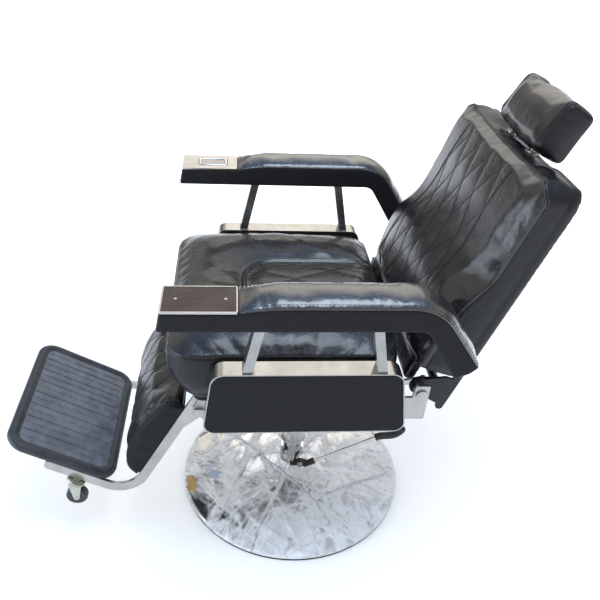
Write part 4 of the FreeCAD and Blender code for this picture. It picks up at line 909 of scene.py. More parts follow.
class Surface:
    """Nearest-point lookups on a finished cover, for seams and stitches."""

    def __init__(self, piece: bpy.types.Object) -> None:
        """Builds the lookup tree.

        Args:
            piece: The cover, in the chair's frame.
        """
        work = bmesh.new()
        work.from_mesh(piece.data)
        self.tree = BVHTree.FromBMesh(work)
        work.free()

    def snap(self, points: np.ndarray) -> tuple[np.ndarray, np.ndarray]:
        """Nearest points of the cover and the normals there.

        Args:
            points: Rows of x, y, z.

        Returns:
            Rows of places and rows of normals.
        """
        places, directions = [], []
        for point in points:
            place, normal, _, _ = self.tree.find_nearest(Vector(point))
            places.append(place)
            directions.append(normal)
        return np.array(places, float), np.array(directions, float)


def even_line(points: np.ndarray, step: float, closed: bool = False) -> np.ndarray:
    """Points a fixed step apart along a line.

    Args:
        points: Rows of x, y, z along the line.
        step: Distance between the new points.
        closed: Whether the line runs back to its start.

    Returns:
        The new rows.
    """
    line = np.vstack([points, points[:1]]) if closed else np.asarray(points, float)
    runs = np.linalg.norm(np.diff(line, axis=0), axis=1)
    total = np.concatenate([[0.0], np.cumsum(runs)])
    count = max(2, int(round(total[-1] / step)) + 1)
    marks = np.linspace(0.0, total[-1], count)
    if closed:
        marks = marks[:-1]
    return np.column_stack([np.interp(marks, total, line[:, i]) for i in range(3)])


def onward(points: np.ndarray, closed: bool = False) -> np.ndarray:
    """Unit directions along a line, one for each of its points.

    Args:
        points: Rows of x, y, z along the line.
        closed: Whether the line runs back to its start.

    Returns:
        Rows of x, y, z, each one long.
    """
    ahead = np.roll(points, -1, axis=0) - np.roll(points, 1, axis=0)
    if not closed:
        ahead[0], ahead[-1] = points[1] - points[0], points[-1] - points[-2]
    return ahead / np.maximum(np.linalg.norm(ahead, axis=1, keepdims=True), 1e-9)


@dataclass
class Seam:
    """A sewn line on a cover: a valley, with rows of stitches beside it."""

    line: np.ndarray
    closed: bool = False
    depth: float = 0.0025
    width: float = 0.005
    rows: Sequence[float] = ()
    stitch: Stitch = Stitch.FINE
    thread: str = "black_thread"
    sharp: bool = False

    def dense(self) -> np.ndarray:
        """Points close together along the seam."""
        return even_line(self.line, 0.0015, self.closed)


@dataclass(frozen=True)
class Tailor:
    """Sews seams into a cover and lays stitches and painted shade lines along them.

    Each stitch is drawn through levels of (place along it, share of its
    radius, lift out of the cover).
    """

    wardrobe: Wardrobe
    piece: bpy.types.Object
    body: str
    thread_radius: float = 0.00055
    thread_sides: int = 6
    stitch_half: float = 0.36
    stitch_levels: tuple[Point, ...] = (
        (-1.0, 0.35, -0.5), (-0.72, 1.0, 0.5), (0.72, 1.0, 0.5), (1.0, 0.35, -0.5))
    # Thin black tubes laid in creases as painted shade.
    shade_line_least: int = 6
    shade_line_sides: int = 5
    shade_line_radius: float = 0.0008
    shade_line_step: float = 0.004
    shade_line_taper: int = 6
    shade_line_shows: float = 0.35

    def sink(self, seams: Sequence[Seam], mask: Optional[Callable[[np.ndarray], np.ndarray]] = None) -> None:
        """Draws the cover in along some seams.

        Args:
            seams: The seams.
            mask: Share of the valley's depth for rows of x, y, z, or None for all of it.
        """
        points, directions = coordinates(self.piece.data), normals(self.piece.data)
        push = np.zeros(len(points))
        for seam in seams:
            dense = seam.dense()
            tree = KDTree(len(dense))
            for index, point in enumerate(dense):
                tree.insert(point, index)
            tree.balance()
            reach = seam.width * 4
            low, high = dense.min(0) - reach, dense.max(0) + reach
            near = np.nonzero(((points > low) & (points < high)).all(1))[0]
            distance = np.array([tree.find(points[i])[2] for i in near])
            if seam.sharp:
                valley = np.exp(-distance / seam.width)
            else:
                valley = np.exp(-(distance / seam.width) ** 2)
            push[near] = np.maximum(push[near], seam.depth * valley)
        if mask is not None:
            push *= mask(points)
        move_points(self.piece.data, points - directions * push[:, None])

    def rows(self, name: str, seams: Sequence[Seam]) -> None:
        """Lays the stitches of some seams on the cover as one piece per thread.

        Args:
            name: Start of the new pieces' names.
            seams: The seams.
        """
        surface = Surface(self.piece)
        for thread in sorted({seam.thread for seam in seams if seam.rows}):
            points: list[np.ndarray] = []
            faces: list[np.ndarray] = []
            count = 0
            for seam in (s for s in seams if s.thread == thread):
                for offset in seam.rows:
                    block, quads = self.row(surface, seam, offset)
                    points.append(block)
                    faces.append(quads + count)
                    count += len(block)
            piece_name = name + ("" if thread == "black_thread" else "_" + thread) + "_stitches"
            made = mesh_piece(piece_name, np.vstack(points), np.vstack(faces))
            self.wardrobe.fit(made, thread, "leather", self.body)
            log.info("%s: %d stitches", piece_name, count // (self.thread_sides * len(self.stitch_levels)))

    def row(self, surface: Surface, seam: Seam, offset: float) -> tuple[np.ndarray, np.ndarray]:
        """One row of stitches beside a seam.

        Args:
            surface: Lookup of the cover.
            seam: The seam.
            offset: Distance from the seam's line, either way.

        Returns:
            Points and faces of the stitches.
        """
        line = even_line(seam.line, seam.stitch.value, seam.closed)
        places, directions = surface.snap(line)
        ahead = onward(places, seam.closed)
        across = np.cross(directions, ahead)
        places, directions = surface.snap(places + across * offset)
        half = seam.stitch.value * self.stitch_half
        radius, sides = self.thread_radius, self.thread_sides
        ring = np.arange(sides) * (2 * math.pi / sides)
        blocks = []
        for along, share, lift in self.stitch_levels:
            centre = places + ahead * (half * along) + directions * (radius * lift)
            for angle in ring:
                blocks.append(centre + across * (radius * share * math.cos(angle))
                              + directions * (radius * share * math.sin(angle)))
        points = np.stack(blocks, axis=1)
        size = points.shape[1]
        end = size - sides
        template = [*grid_faces(len(self.stitch_levels), sides, True, True), (0, 1, 2, 3), (0, 3, 4, 5),
                    (end + 3, end + 2, end + 1, end), (end + 5, end + 4, end + 3, end)]
        quads = np.array(template)[None] + (np.arange(len(places)) * size)[:, None, None]
        return points.reshape(-1, 3), quads.reshape(-1, 4)

    def folds(self, name: str, seams: Sequence[Seam], mask: Callable[[np.ndarray], np.ndarray]) -> None:
        """Lays a thin black tube along the cover's creases as a painted shade line.

        Args:
            name: Start of the new piece's name.
            seams: The creases.
            mask: How deep a crease is at rows of x, y, z, from 0 to 1; the painted shade line is laid only
                where this is high enough.
        """
        surface = Surface(self.piece)
        points: list[np.ndarray] = []
        faces: list[Sequence[int]] = []
        count = 0
        for seam in seams:
            places, _ = surface.snap(even_line(seam.line, self.shade_line_step))
            shown = np.nonzero(mask(places) > self.shade_line_shows)[0]
            if len(shown) < self.shade_line_least:
                continue
            path = places[shown[0]:shown[-1] + 1]
            ends = np.minimum(np.arange(len(path)), np.arange(len(path))[::-1]) / self.shade_line_taper
            block, around = tube_mesh(path, self.shade_line_radius * np.clip(ends, 0.2, 1.0), self.shade_line_sides)
            points.append(block)
            faces += [tuple(i + count for i in face) for face in around]
            count += len(block)
        made = mesh_piece(name + "_crease_shade", np.vstack(points), faces)
        # The black tube is painted shade, not part of the cover.
        self.wardrobe.fit(made, "painted_crease_shade", "leather", self.body)


def tube_mesh(path: np.ndarray, radii: np.ndarray, sides: int) -> tuple[np.ndarray, list[Sequence[int]]]:
    """Points and faces of a thin round line.

    Args:
        path: Rows of x, y, z.
        radii: Its radius at each row.
        sides: Faces round it.

    Returns:
        The points and the faces.
    """
    count = len(path)
    ahead = onward(path)
    up = np.zeros_like(path)
    guess = np.array([0.0, 0.0, 1.0]) if abs(ahead[0][2]) < 0.9 else np.array([1.0, 0.0, 0.0])
    for i in range(count):
        guess = guess - ahead[i] * guess.dot(ahead[i])
        guess /= max(np.linalg.norm(guess), 1e-9)
        up[i] = guess
    over = np.cross(ahead, up)
    wide = radii[:, None]
    rings = [path + up * wide * math.cos(2 * math.pi * k / sides)
             + over * wide * math.sin(2 * math.pi * k / sides) for k in range(sides)]
    points = np.stack(rings, axis=1).reshape(-1, 3)
    faces = grid_faces(count, sides, True, True)
    faces += [tuple(reversed(range(sides))), tuple(range((count - 1) * sides, count * sides))]
    return points, faces


def ring_piece(name: str, loops: Sequence[np.ndarray]) -> bpy.types.Object:
    """Closed ring drawn through loops of equal length, the last joined to the first.

    Args:
        name: Name of the piece.
        loops: Rows of x, y, z round the ring, one array for each loop.

    Returns:
        The ring.
    """
    size, count = len(loops[0]), len(loops)
    faces = [[i % (size * count) for i in face] for face in grid_faces(count + 1, size, True, True)]
    piece = mesh_piece(name, np.vstack(loops), faces)
    rework(piece, lambda work: bmesh.ops.recalc_face_normals(work, faces=work.faces))
    return piece


def rounded_loop(x_half: float, low: float, high: float, near: float, far: float,
                 steps: int = 8) -> np.ndarray:
    """Rounded rectangle, symmetric in its first coordinate.

    Args:
        x_half: Half its width.
        low: Its lowest second coordinate.
        high: Its highest second coordinate.
        near: Corner radius at low.
        far: Corner radius at high.
        steps: Points per corner.

    Returns:
        Rows of the two coordinates, all the way round.
    """
    loop = []
    for cx, cy, radius, start in ((x_half, high, far, 0.0), (-x_half, high, far, 90.0),
                                  (-x_half, low, near, 180.0), (x_half, low, near, 270.0)):
        ox = cx - math.copysign(radius, cx)
        oy = cy - radius if cy == high else cy + radius
        for i in range(steps + 1):
            angle = math.radians(start + 90.0 * i / steps)
            loop.append((ox + radius * math.cos(angle), oy + radius * math.sin(angle)))
    return np.array(loop)


@dataclass
class Quilt:
    """Diamonds sewn through a cover, with creases along two families of lines."""

    pitch: float
    rise: float
    shift: float
    x_half: float
    low: float
    high: float
    step: float = 0.01
    samples: int = 240
    least: int = 6

    def lines(self) -> list[np.ndarray]:
        """Ends of every crease in the plane of the quilt.

        Returns:
            Pairs of (x, s) rows, clipped to the quilted field.
        """
        found = []
        steps = int((self.x_half / self.pitch) + (self.high - self.low) / (2 * self.rise)) + 3
        for slope in (1.0, -1.0):
            for k in range(-steps, steps + 1):
                samples = np.linspace(self.low, self.high, self.samples)
                x = self.pitch * (k - slope * (samples - self.shift) / (2 * self.rise))
                inside = np.abs(x) <= self.x_half
                if inside.sum() > self.least:
                    found.append(np.column_stack([x[inside], samples[inside]])[[0, -1]])
        return found

    def creases(self, place: Callable[[np.ndarray, np.ndarray], np.ndarray], depth: float,
                width: float) -> list[Seam]:
        """Sharp seams along the quilt's lines.

        Args:
            place: Gives rows of the chair's frame for places across and along the quilt.
            depth: Depth of a crease.
            width: How far from its middle it fades.

        Returns:
            One seam for each line.
        """
        rows = [even_line(np.column_stack([line, np.zeros(2)]), self.step) for line in self.lines()]
        return [Seam(place(row[:, 0], row[:, 1]), depth=depth, width=width, sharp=True) for row in rows]


@dataclass
class Cover:
    """A padded cover grown from its even mesh in place of a solid, then sewn."""

    wardrobe: Wardrobe
    piece: bpy.types.Object
    node: str
    body: str
    lean: Lean
    finish: str
    puff: Puff
    fill: float

    @property
    def tailor(self) -> Tailor:
        """Sews on this cover."""
        return Tailor(self.wardrobe, self.piece, self.body)

    def reshape(self, change: Callable[[np.ndarray, np.ndarray], np.ndarray]) -> None:
        """Moves the cover's points, given and returned as upright rows, with their normals."""
        points, directions = coordinates(self.piece.data), normals(self.piece.data)
        move_points(self.piece.data, self.lean.world(change(self.lean.upright(points), directions)))

    def second_finish(self, finish: str, chosen: Callable[[np.ndarray, np.ndarray], np.ndarray]) -> None:
        """Puts a second finish on the faces whose upright middles and normals pass a test.

        Args:
            finish: Name of the finish.
            chosen: Picks faces, from their upright middles and normals.
        """
        faces = self.piece.data.polygons
        self.piece.data.materials.append(self.wardrobe.built[finish])
        middles = self.lean.upright(np.array([face.center for face in faces]))
        directions = np.array([face.normal for face in faces])
        faces.foreach_set("material_index", chosen(middles, directions).astype(np.int32))

    def grow(self, held: Callable[[np.ndarray, np.ndarray], np.ndarray], shrink: float) -> None:
        """Draws the cover in a little, blows it up and subdivides it.

        Args:
            held: Gives how firmly each point is held, from upright points and normals.
            shrink: How far the free points start inside the solid.
        """
        points, directions = coordinates(self.piece.data), normals(self.piece.data)
        upright = self.lean.upright(points)
        hold = np.clip(held(upright, directions), 0.0, 1.0)
        move_points(self.piece.data, points - directions * (shrink * (1 - hold))[:, None])
        self.puff.blow(self.piece, hold)
        subdivide(self.piece)
        log.info("%s: %d points", self.piece.name, len(self.piece.data.vertices))

    def finish_up(self) -> None:
        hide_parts(self.node)
        self.wardrobe.fit(self.piece, self.finish, "leather", self.body)


@dataclass
class SeatCushion:
    """Seat cushion: horseshoe bolster round a sunken, quilted middle."""

    wardrobe: Wardrobe
    seam_z: float = 0.602
    crown_z: float = 0.638
    half: float = 0.265
    front: float = -0.300
    rear: float = 0.183
    corner: float = 0.062
    rear_corner: float = 0.058
    panel_half: float = 0.090
    panel_front: float = -0.134
    panel_corner: float = 0.078
    panel_depth: float = 0.017
    stitch_out: float = 0.010
    grip: float = 0.006
    base: tuple[float, float] = (0.497, 0.506)
    least_crease: float = 0.1

    def panel_line(self, outward: float, z: float) -> np.ndarray:
        """Open line round the sunken panel, from its rear left to its rear right.

        Args:
            outward: Distance outside the panel's foot.
            z: Height of the line.

        Returns:
            Rows of x, y, z.
        """
        loop = rounded_loop(self.panel_half + outward, self.panel_front - outward, 1.0,
                            self.panel_corner + outward, 0.001, 12)
        half, rear = self.panel_half + outward, self.rear - 0.012
        line = np.vstack([(-half, rear), loop[loop[:, 1] < 0.5], (half, rear)])
        return np.column_stack([line, np.full(len(line), z)])

    def in_panel(self, points: np.ndarray, margin: float) -> np.ndarray:
        """How far inside the sunken panel points lie, from 0 to 1 over a margin."""
        return smooth_steps(-self.trench(points), 0.0, margin)

    def held(self, points: np.ndarray, directions: np.ndarray) -> np.ndarray:
        """Points held while the cover is blown up: its base, seams and rear.

        Args:
            points: Upright rows of x, y, z.
            directions: Their normals.

        Returns:
            How firmly each point is held, from 0 to 1.
        """
        rim = np.exp(-((points[:, 2] - self.seam_z) / self.grip) ** 2)
        low = 1 - smooth_steps(points[:, 2], *self.base)
        trench = np.exp(-(self.trench(points) / self.grip) ** 2) * (directions[:, 2] > 0.3)
        return np.maximum.reduce([rim, low, trench])

    def trench(self, points: np.ndarray) -> np.ndarray:
        """Signed distance from the panel's foot line, seen from above.

        Args:
            points: Rows of x, y, z.

        Returns:
            Distances, below 0 inside the panel.
        """
        corner = self.panel_corner
        return beyond_corner(np.abs(points[:, 0]) - self.panel_half + corner,
                             self.panel_front - points[:, 1] + corner, corner)

    def build(self) -> None:
        """Makes the cushion with its seams, quilting and stitches."""
        cover = Cover(self.wardrobe, solid_copy("seat_cushion", "seat_cushion_cover", 0.005, 8),
                      "seat_cushion", "seat", LEVEL, "seat_leather", Puff(0.012), 0.75)
        cover.grow(self.held, 0.003)
        rim = rounded_loop(self.half, self.front, self.rear, self.corner, self.rear_corner)
        rim = np.column_stack([rim, np.full(len(rim), self.seam_z)])
        floor = self.crown_z - self.panel_depth
        foot = self.panel_line(0.002, floor + 0.002)
        top_line = self.panel_line(self.stitch_out, floor + self.stitch_out)
        quilt = Quilt(0.079, 0.088, -0.02, self.panel_half - 0.006, self.panel_front + 0.008,
                      self.rear - 0.004)
        creases = quilt.creases(lambda x, y: np.column_stack([x, y, np.full(len(x), floor)]), 0.0042, 0.0055)
        creases = [c for c in creases if self.in_panel(c.dense(), 0.004).mean() > self.least_crease]
        cover.tailor.sink(creases, lambda p: self.in_panel(p, 0.012))
        shaped = [Seam(rim, True, 0.003, 0.005, (0.004, -0.005), Stitch.LONG),
                  Seam(foot, False, 0.005, 0.0045),
                  Seam(top_line, False, 0.0004, 0.003, (0.0,), Stitch.FINE, "pale_thread")]
        cover.tailor.sink(shaped)
        cover.tailor.rows("seat", shaped)
        # Painted shade lines along the quilt's creases, the rim and the panel's foot.
        cover.tailor.folds("seat", [*creases, shaped[0], shaped[1]], self.crease_shade_share)
        cover.finish_up()
        cover.second_finish("boxing_leather", lambda p, d: p[:, 2] < self.seam_z)

    def crease_shade_share(self, points: np.ndarray) -> np.ndarray:
        """Share of the painted shade line in a crease: full on the rim and the panel's foot, fading at the
        panel's end.

        Args:
            points: Rows of x, y, z.

        Returns:
            Shares from 0 to 1.
        """
        rear = 1 - smooth_steps(points[:, 1], self.rear - 0.030, self.rear - 0.004)
        rim = (points[:, 2] < self.seam_z + 0.006).astype(float)
        return np.maximum(rear, rim)


@dataclass
class BackCushion:
    """Back cushion: quilted middle, double-stitched edge and flat flanks."""

    wardrobe: Wardrobe
    half: float = 0.255
    rear: float = 0.088
    low: float = 0.066
    top: float = 0.517
    shoulder: float = 0.046
    lumbar: float = 0.029
    lumbar_top: float = 0.200
    lumbar_fade: float = 0.325
    crown: float = 0.016
    quilt_half: float = 0.165
    field_half: float = 0.138
    field_waist: float = 0.450
    roll: float = 0.024
    rear_rise: float = 0.011
    heel: float = 0.003
    waist_gain: float = 0.014
    waist_reach: float = 0.20
    pair: float = 0.0024

    def front_depth(self, s: np.ndarray) -> np.ndarray:
        """Depth of the front corner line at heights along the back."""
        return -self.lumbar * (1 - smooth_steps(s, self.lumbar_top, self.lumbar_fade))

    def half_at(self, s: np.ndarray) -> np.ndarray:
        """Half the cushion's width at heights along the back, smaller at its round shoulders."""
        over = np.clip(s - (self.top - self.shoulder), 0.0, self.shoulder)
        return self.half - self.shoulder + np.sqrt(self.shoulder ** 2 - over ** 2)

    def roll_at(self, s: np.ndarray) -> np.ndarray:
        """Radius of the front's edge at heights along the back, tighter over the top."""
        return self.roll - (self.roll - 0.006) * smooth_steps(s, self.top - self.shoulder, self.top - 0.004)

    def swell(self, points: np.ndarray) -> np.ndarray:
        """How far the front stands forward between its edges, less towards its top."""
        flatter = 1 - 0.75 * smooth_steps(points[:, 2], self.top - 0.12, self.top)
        return self.crown * flatter * (1 - np.clip(np.abs(points[:, 0]) / self.half, 0.0, 1.0) ** 2)

    def edge(self) -> np.ndarray:
        """Seam line up one side, over the top and down the other, behind the rolled front edge.

        Returns:
            Upright rows of x, y, s.
        """
        loop = rounded_loop(self.half, -1.0, self.top, 0.001, self.shoulder, 10)
        foot = self.low + 0.004
        line = np.vstack([(self.half, foot), loop[loop[:, 1] > -0.5], (-self.half, foot)])
        flat = even_line(np.column_stack([line[:, 0], np.zeros(len(line)), line[:, 1]]), 0.006)
        flat[:, 1] = self.front_depth(flat[:, 2]) - self.swell(flat) + self.roll_at(flat[:, 2])
        return flat

    def border(self, s: np.ndarray) -> np.ndarray:
        """Half the quilted field's width at heights along the back."""
        below = np.maximum(self.field_waist - s, 0.0)
        return self.field_half + self.waist_gain * (below / self.waist_reach) ** 2

    def held(self, points: np.ndarray, directions: np.ndarray) -> np.ndarray:
        """Points held while the cover is blown up: its rear, its foot, its seam and the posts' sockets.

        Args:
            points: Upright rows of x, y, z.
            directions: Their normals.

        Returns:
            How firmly each point is held, from 0 to 1.
        """
        rear = smooth_steps(points[:, 1], 0.062, 0.07)
        seam = self.front_depth(points[:, 2]) + self.roll_at(points[:, 2])
        corner = np.hypot(np.abs(points[:, 0]) - self.half_at(points[:, 2]), points[:, 1] - seam)
        sides = np.exp(-(corner / 0.007) ** 2)
        foot = 1 - smooth_steps(points[:, 2], self.low + 0.002, self.low + 0.01)
        return np.maximum.reduce([rear, sides, foot, near_posts(points, 0.02)])

    def rounded(self, points: np.ndarray, directions: np.ndarray) -> np.ndarray:
        """Flattens the front towards its top, rolls its side edges and raises the top's rear edge.

        Args:
            points: Upright rows of x, y, z.
            directions: Their normals.

        Returns:
            The moved rows.
        """
        x, y, s = points.T
        bare = self.crown * (1 - np.clip(np.abs(x) / self.half, 0.0, 1.0) ** 2)
        forward = 1 - smooth_steps(y - self.front_depth(s), 0.0, 0.05)
        y = y + (bare - self.swell(points) + self.heel * (1 - smooth_steps(s, 0.06, 0.16))) * forward
        roll = self.roll_at(s)
        half = self.half_at(s)
        front = self.front_depth(s) - self.swell(points)
        over_x, over_y = np.abs(x) - (half - roll), front + roll - y
        far = np.hypot(over_x, over_y)
        share = np.where((over_x > 0) & (over_y > 0) & (far > roll), roll / np.maximum(far, 1e-9), 1.0)
        x = np.where(share < 1, np.sign(x) * (half - roll + over_x * share), x)
        y = np.where(share < 1, front + roll - over_y * share, y)
        near_top = smooth_steps(s, self.top - 0.060, self.top - 0.010)
        beside = 0.4 + 0.6 * smooth_steps(np.abs(x), 0.10, 0.15)
        rise = self.rear_rise * beside * smooth_steps(y, 0.0, self.rear * 0.8)
        return np.column_stack([x, y, s + rise * near_top * (1 - near_posts(points, 0.03))])

    def in_quilt(self, points: np.ndarray) -> np.ndarray:
        """Share of the quilting's depth at points of the front.

        Args:
            points: Upright rows of x, y, z.

        Returns:
            Shares from 0 to 1.
        """
        limit = self.border(points[:, 2])
        across = 1 - smooth_steps(np.abs(points[:, 0]) - limit, -0.004, 0.003)
        along = smooth_steps(points[:, 2], self.low, self.low + 0.05)
        up = 1 - smooth_steps(points[:, 2], self.top - 0.040, self.top - 0.022)
        return across * along * up * (points[:, 1] < 0.03)

    def on_front(self, x: np.ndarray, s: np.ndarray) -> np.ndarray:
        """Rows of the chair's frame on the front, at places across and along it.

        Args:
            x: Distances across.
            s: Heights along the back.

        Returns:
            Rows of x, y, z in the chair's frame.
        """
        rows = np.column_stack([x, self.front_depth(s), s])
        rows[:, 1] -= self.swell(rows)
        return BACK.world(rows)

    def quilted(self, points: np.ndarray) -> np.ndarray:
        """Share of the quilting's depth at points of the chair's frame."""
        return self.in_quilt(BACK.upright(points))

    def borders(self) -> list[Seam]:
        """Two close seams down each side of the quilted field.

        Returns:
            The four seams.
        """
        s = np.linspace(self.low + 0.02, self.top - 0.022, 60)
        return [Seam(self.on_front(side.value * (self.border(s) + apart), s), depth=0.0022, width=0.0034)
                for side in Side for apart in (-self.pair, self.pair)]

    def build(self) -> None:
        """Makes the cushion with its quilting, seams and stitches."""
        cover = Cover(self.wardrobe, solid_copy("back_cushion", "back_cushion_cover", 0.005, 4),
                      "back_cushion", "back", BACK, "back_leather", Puff(0.012), 0.7)
        cover.reshape(self.rounded)
        cover.grow(self.held, 0.003)
        quilt = Quilt(0.067, 0.080, 0.075, self.quilt_half, self.low + 0.02, self.top - 0.024)
        creases = quilt.creases(self.on_front, 0.0050, 0.0050)
        cover.tailor.sink(creases, self.quilted)
        borders = self.borders()
        sewn = Seam(BACK.world(self.edge()), False, 0.0024, 0.004, (0.0032, -0.0032), Stitch.FINE,
                    "grey_thread")
        cover.tailor.sink([sewn, *borders])
        cover.tailor.rows("back", [sewn])
        # Painted shade lines in the quilt's creases and along the edge and border seams.
        cover.tailor.folds("back", creases, self.quilted)
        cover.tailor.folds("back_border", [sewn, *borders], everywhere)
        cover.finish_up()
        cover.second_finish("boxing_leather", self.boxing)

    def boxing(self, middles: np.ndarray, directions: np.ndarray) -> np.ndarray:
        """Faces behind the front's seam."""
        s = middles[:, 2]
        return middles[:, 1] > self.front_depth(s) - self.swell(middles) + self.roll_at(s)


@dataclass
class Headrest:
    """Boxed headrest cushion with sewn end panels."""

    wardrobe: Wardrobe
    seam: float = 0.102
    hang: float = 0.011
    bulge: float = 0.008
    bulge_reach: float = 0.068
    socket: float = 0.012
    socket_top: float = 0.57
    corner_cut: float = 0.014
    corners: tuple[tuple[float, float], ...] = (
        (0.016, 0.536), (0.036, 0.643), (0.101, 0.630), (0.090, 0.519))

    def loop(self, x: float) -> np.ndarray:
        """Rounded outline of the cushion at one X.

        Args:
            x: The X.

        Returns:
            Upright rows of x, y, z.
        """
        points = np.array(self.corners)
        rows = []
        for i in range(4):
            before, corner, after = points[i - 1], points[i], points[(i + 1) % 4]
            a = corner + (before - corner) / np.linalg.norm(before - corner) * self.corner_cut
            b = corner + (after - corner) / np.linalg.norm(after - corner) * self.corner_cut
            for t in np.linspace(0, 1, 7):
                rows.append((1 - t) ** 2 * a + 2 * t * (1 - t) * corner + t * t * b)
        rows = np.array(rows)
        return np.column_stack([np.full(len(rows), x), rows])

    def held(self, points: np.ndarray, directions: np.ndarray) -> np.ndarray:
        """Points held while the cover is blown up: the end seams and the posts' sockets."""
        ends = np.exp(-((np.abs(points[:, 0]) - self.seam) / 0.004) ** 2)
        return np.maximum(ends, near_posts(points, self.socket) * (points[:, 2] < self.socket_top))

    def plump(self, points: np.ndarray, directions: np.ndarray) -> np.ndarray:
        """Swells every face between its edges, and lets the underside hang in a full curve.

        Args:
            points: Upright rows of x, y, z.
            directions: Their normals.

        Returns:
            The moved rows.
        """
        corners = np.array(self.corners)
        middle = corners.mean(0)
        out = points[:, 1:] - middle
        far = np.linalg.norm(out, axis=1, keepdims=True)
        along = np.clip(1 - (np.abs(points[:, 0]) / self.seam) ** 4, 0.0, 1.0)
        moved = points.copy()
        bulge = self.bulge * np.clip(1 - far[:, 0] / self.bulge_reach, 0.0, 1.0) * along
        moved[:, 1:] += out / np.maximum(far, 1e-9) * bulge[:, None]
        front, rear = corners[0], corners[3]
        share = np.clip((points[:, 1] - front[0]) / (rear[0] - front[0]), 0.0, 1.0)
        above = points[:, 2] - (front[1] + (rear[1] - front[1]) * share)
        hang = self.hang * (1 - share * 0.75) * (1 - smooth_steps(above, 0.0, 0.05)) * along
        moved[:, 2] -= hang * np.clip(share * 6 + 0.35, 0.0, 1.0)
        return moved

    def build(self) -> None:
        """Makes the cushion with its end seams and stitches."""
        cover = Cover(self.wardrobe, solid_copy("headrest_cushion", "headrest_cushion_cover", 0.004, 6),
                      "headrest_cushion", "headrest", BACK, "back_leather", Puff(0.006), 0.8)
        cover.reshape(self.plump)
        cover.grow(self.held, 0.002)
        seams = [Seam(BACK.world(self.loop(side.value * self.seam)), True, 0.0022, 0.0035,
                      (0.004,) if side is Side.LEFT else (-0.004,), Stitch.FINE) for side in Side]
        cover.tailor.sink(seams)
        cover.tailor.rows("headrest", seams)
        # Painted shade lines along both end seams.
        cover.tailor.folds("headrest", seams, everywhere)
        cover.finish_up()
        cover.second_finish("boxing_leather", lambda p, d: np.abs(p[:, 0]) > self.seam)


@dataclass
class CalfPad:
    """Rolled calf pad with quilting across its front and sewn ends."""

    wardrobe: Wardrobe
    top: float = 0.068
    bottom: float = 0.312
    rear: float = -0.022
    depth: float = 0.040
    swell: float = 0.018
    seam: float = 0.186

    def front_depth(self, s: np.ndarray) -> np.ndarray:
        """Depth of the pad's front at heights below its foot.

        Args:
            s: Heights, below 0 under the leg rest's pivot.

        Returns:
            Places along Y.
        """
        middle = -(self.top + self.bottom) / 2
        reach = (self.bottom - self.top) / 2
        return self.rear - self.depth - self.swell * (1 - ((s - middle) / reach) ** 2)

    def held(self, points: np.ndarray, directions: np.ndarray) -> np.ndarray:
        """Points held while the cover is blown up: its rear and end seams.

        Args:
            points: Upright rows of x, y, z.
            directions: Their normals.

        Returns:
            How firmly each point is held, from 0 to 1.
        """
        rear = smooth_steps(points[:, 1], self.rear - 0.008, self.rear - 0.002)
        ends = np.exp(-((np.abs(points[:, 0]) - self.seam) / 0.005) ** 2)
        return np.maximum(rear, ends * 0.9)

    def arc(self, x: float) -> np.ndarray:
        """Line over the pad's front at one X, from its top rear to its bottom rear.

        Args:
            x: The X.

        Returns:
            Upright rows of x, y, z.
        """
        s = np.linspace(-self.top - 0.004, -self.bottom + 0.004, 40)
        t = (s + self.top) / (self.top - self.bottom)
        round_off = np.clip(1 - np.abs(2 * t - 1) ** 6, 0, 1) ** 0.5
        y = self.rear + (self.front_depth(s) - self.rear) * round_off
        return np.column_stack([np.full(len(s), x), y, s])

    def build(self) -> None:
        """Makes the pad with its quilting, seams and stitches."""
        cover = Cover(self.wardrobe, solid_copy("calf_pad", "calf_pad_cover", 0.005, 4), "calf_pad",
                      "leg_rest", LEG, "calf_leather", Puff(0.009), 0.7)
        cover.grow(self.held, 0.003)
        quilt = Quilt(0.069, 0.062, -0.185, self.seam - 0.006, -self.bottom + 0.012, -self.top - 0.008)
        creases = quilt.creases(lambda x, s: LEG.world(np.column_stack([x, self.front_depth(s), s])),
                                0.0046, 0.0050)
        cover.tailor.sink(creases)
        seams = [Seam(LEG.world(self.arc(side.value * self.seam)), False, 0.0024, 0.004,
                      (0.004, -0.004), Stitch.FINE) for side in Side]
        cover.tailor.sink(seams)
        cover.tailor.rows("calf_pad", seams)
        # Painted shade lines in the quilt's creases and along the end seams.
        cover.tailor.folds("calf_pad", [*creases, *seams], everywhere)
        cover.finish_up()
        cover.second_finish("side_leather", lambda p, d: np.abs(p[:, 0]) > self.seam)


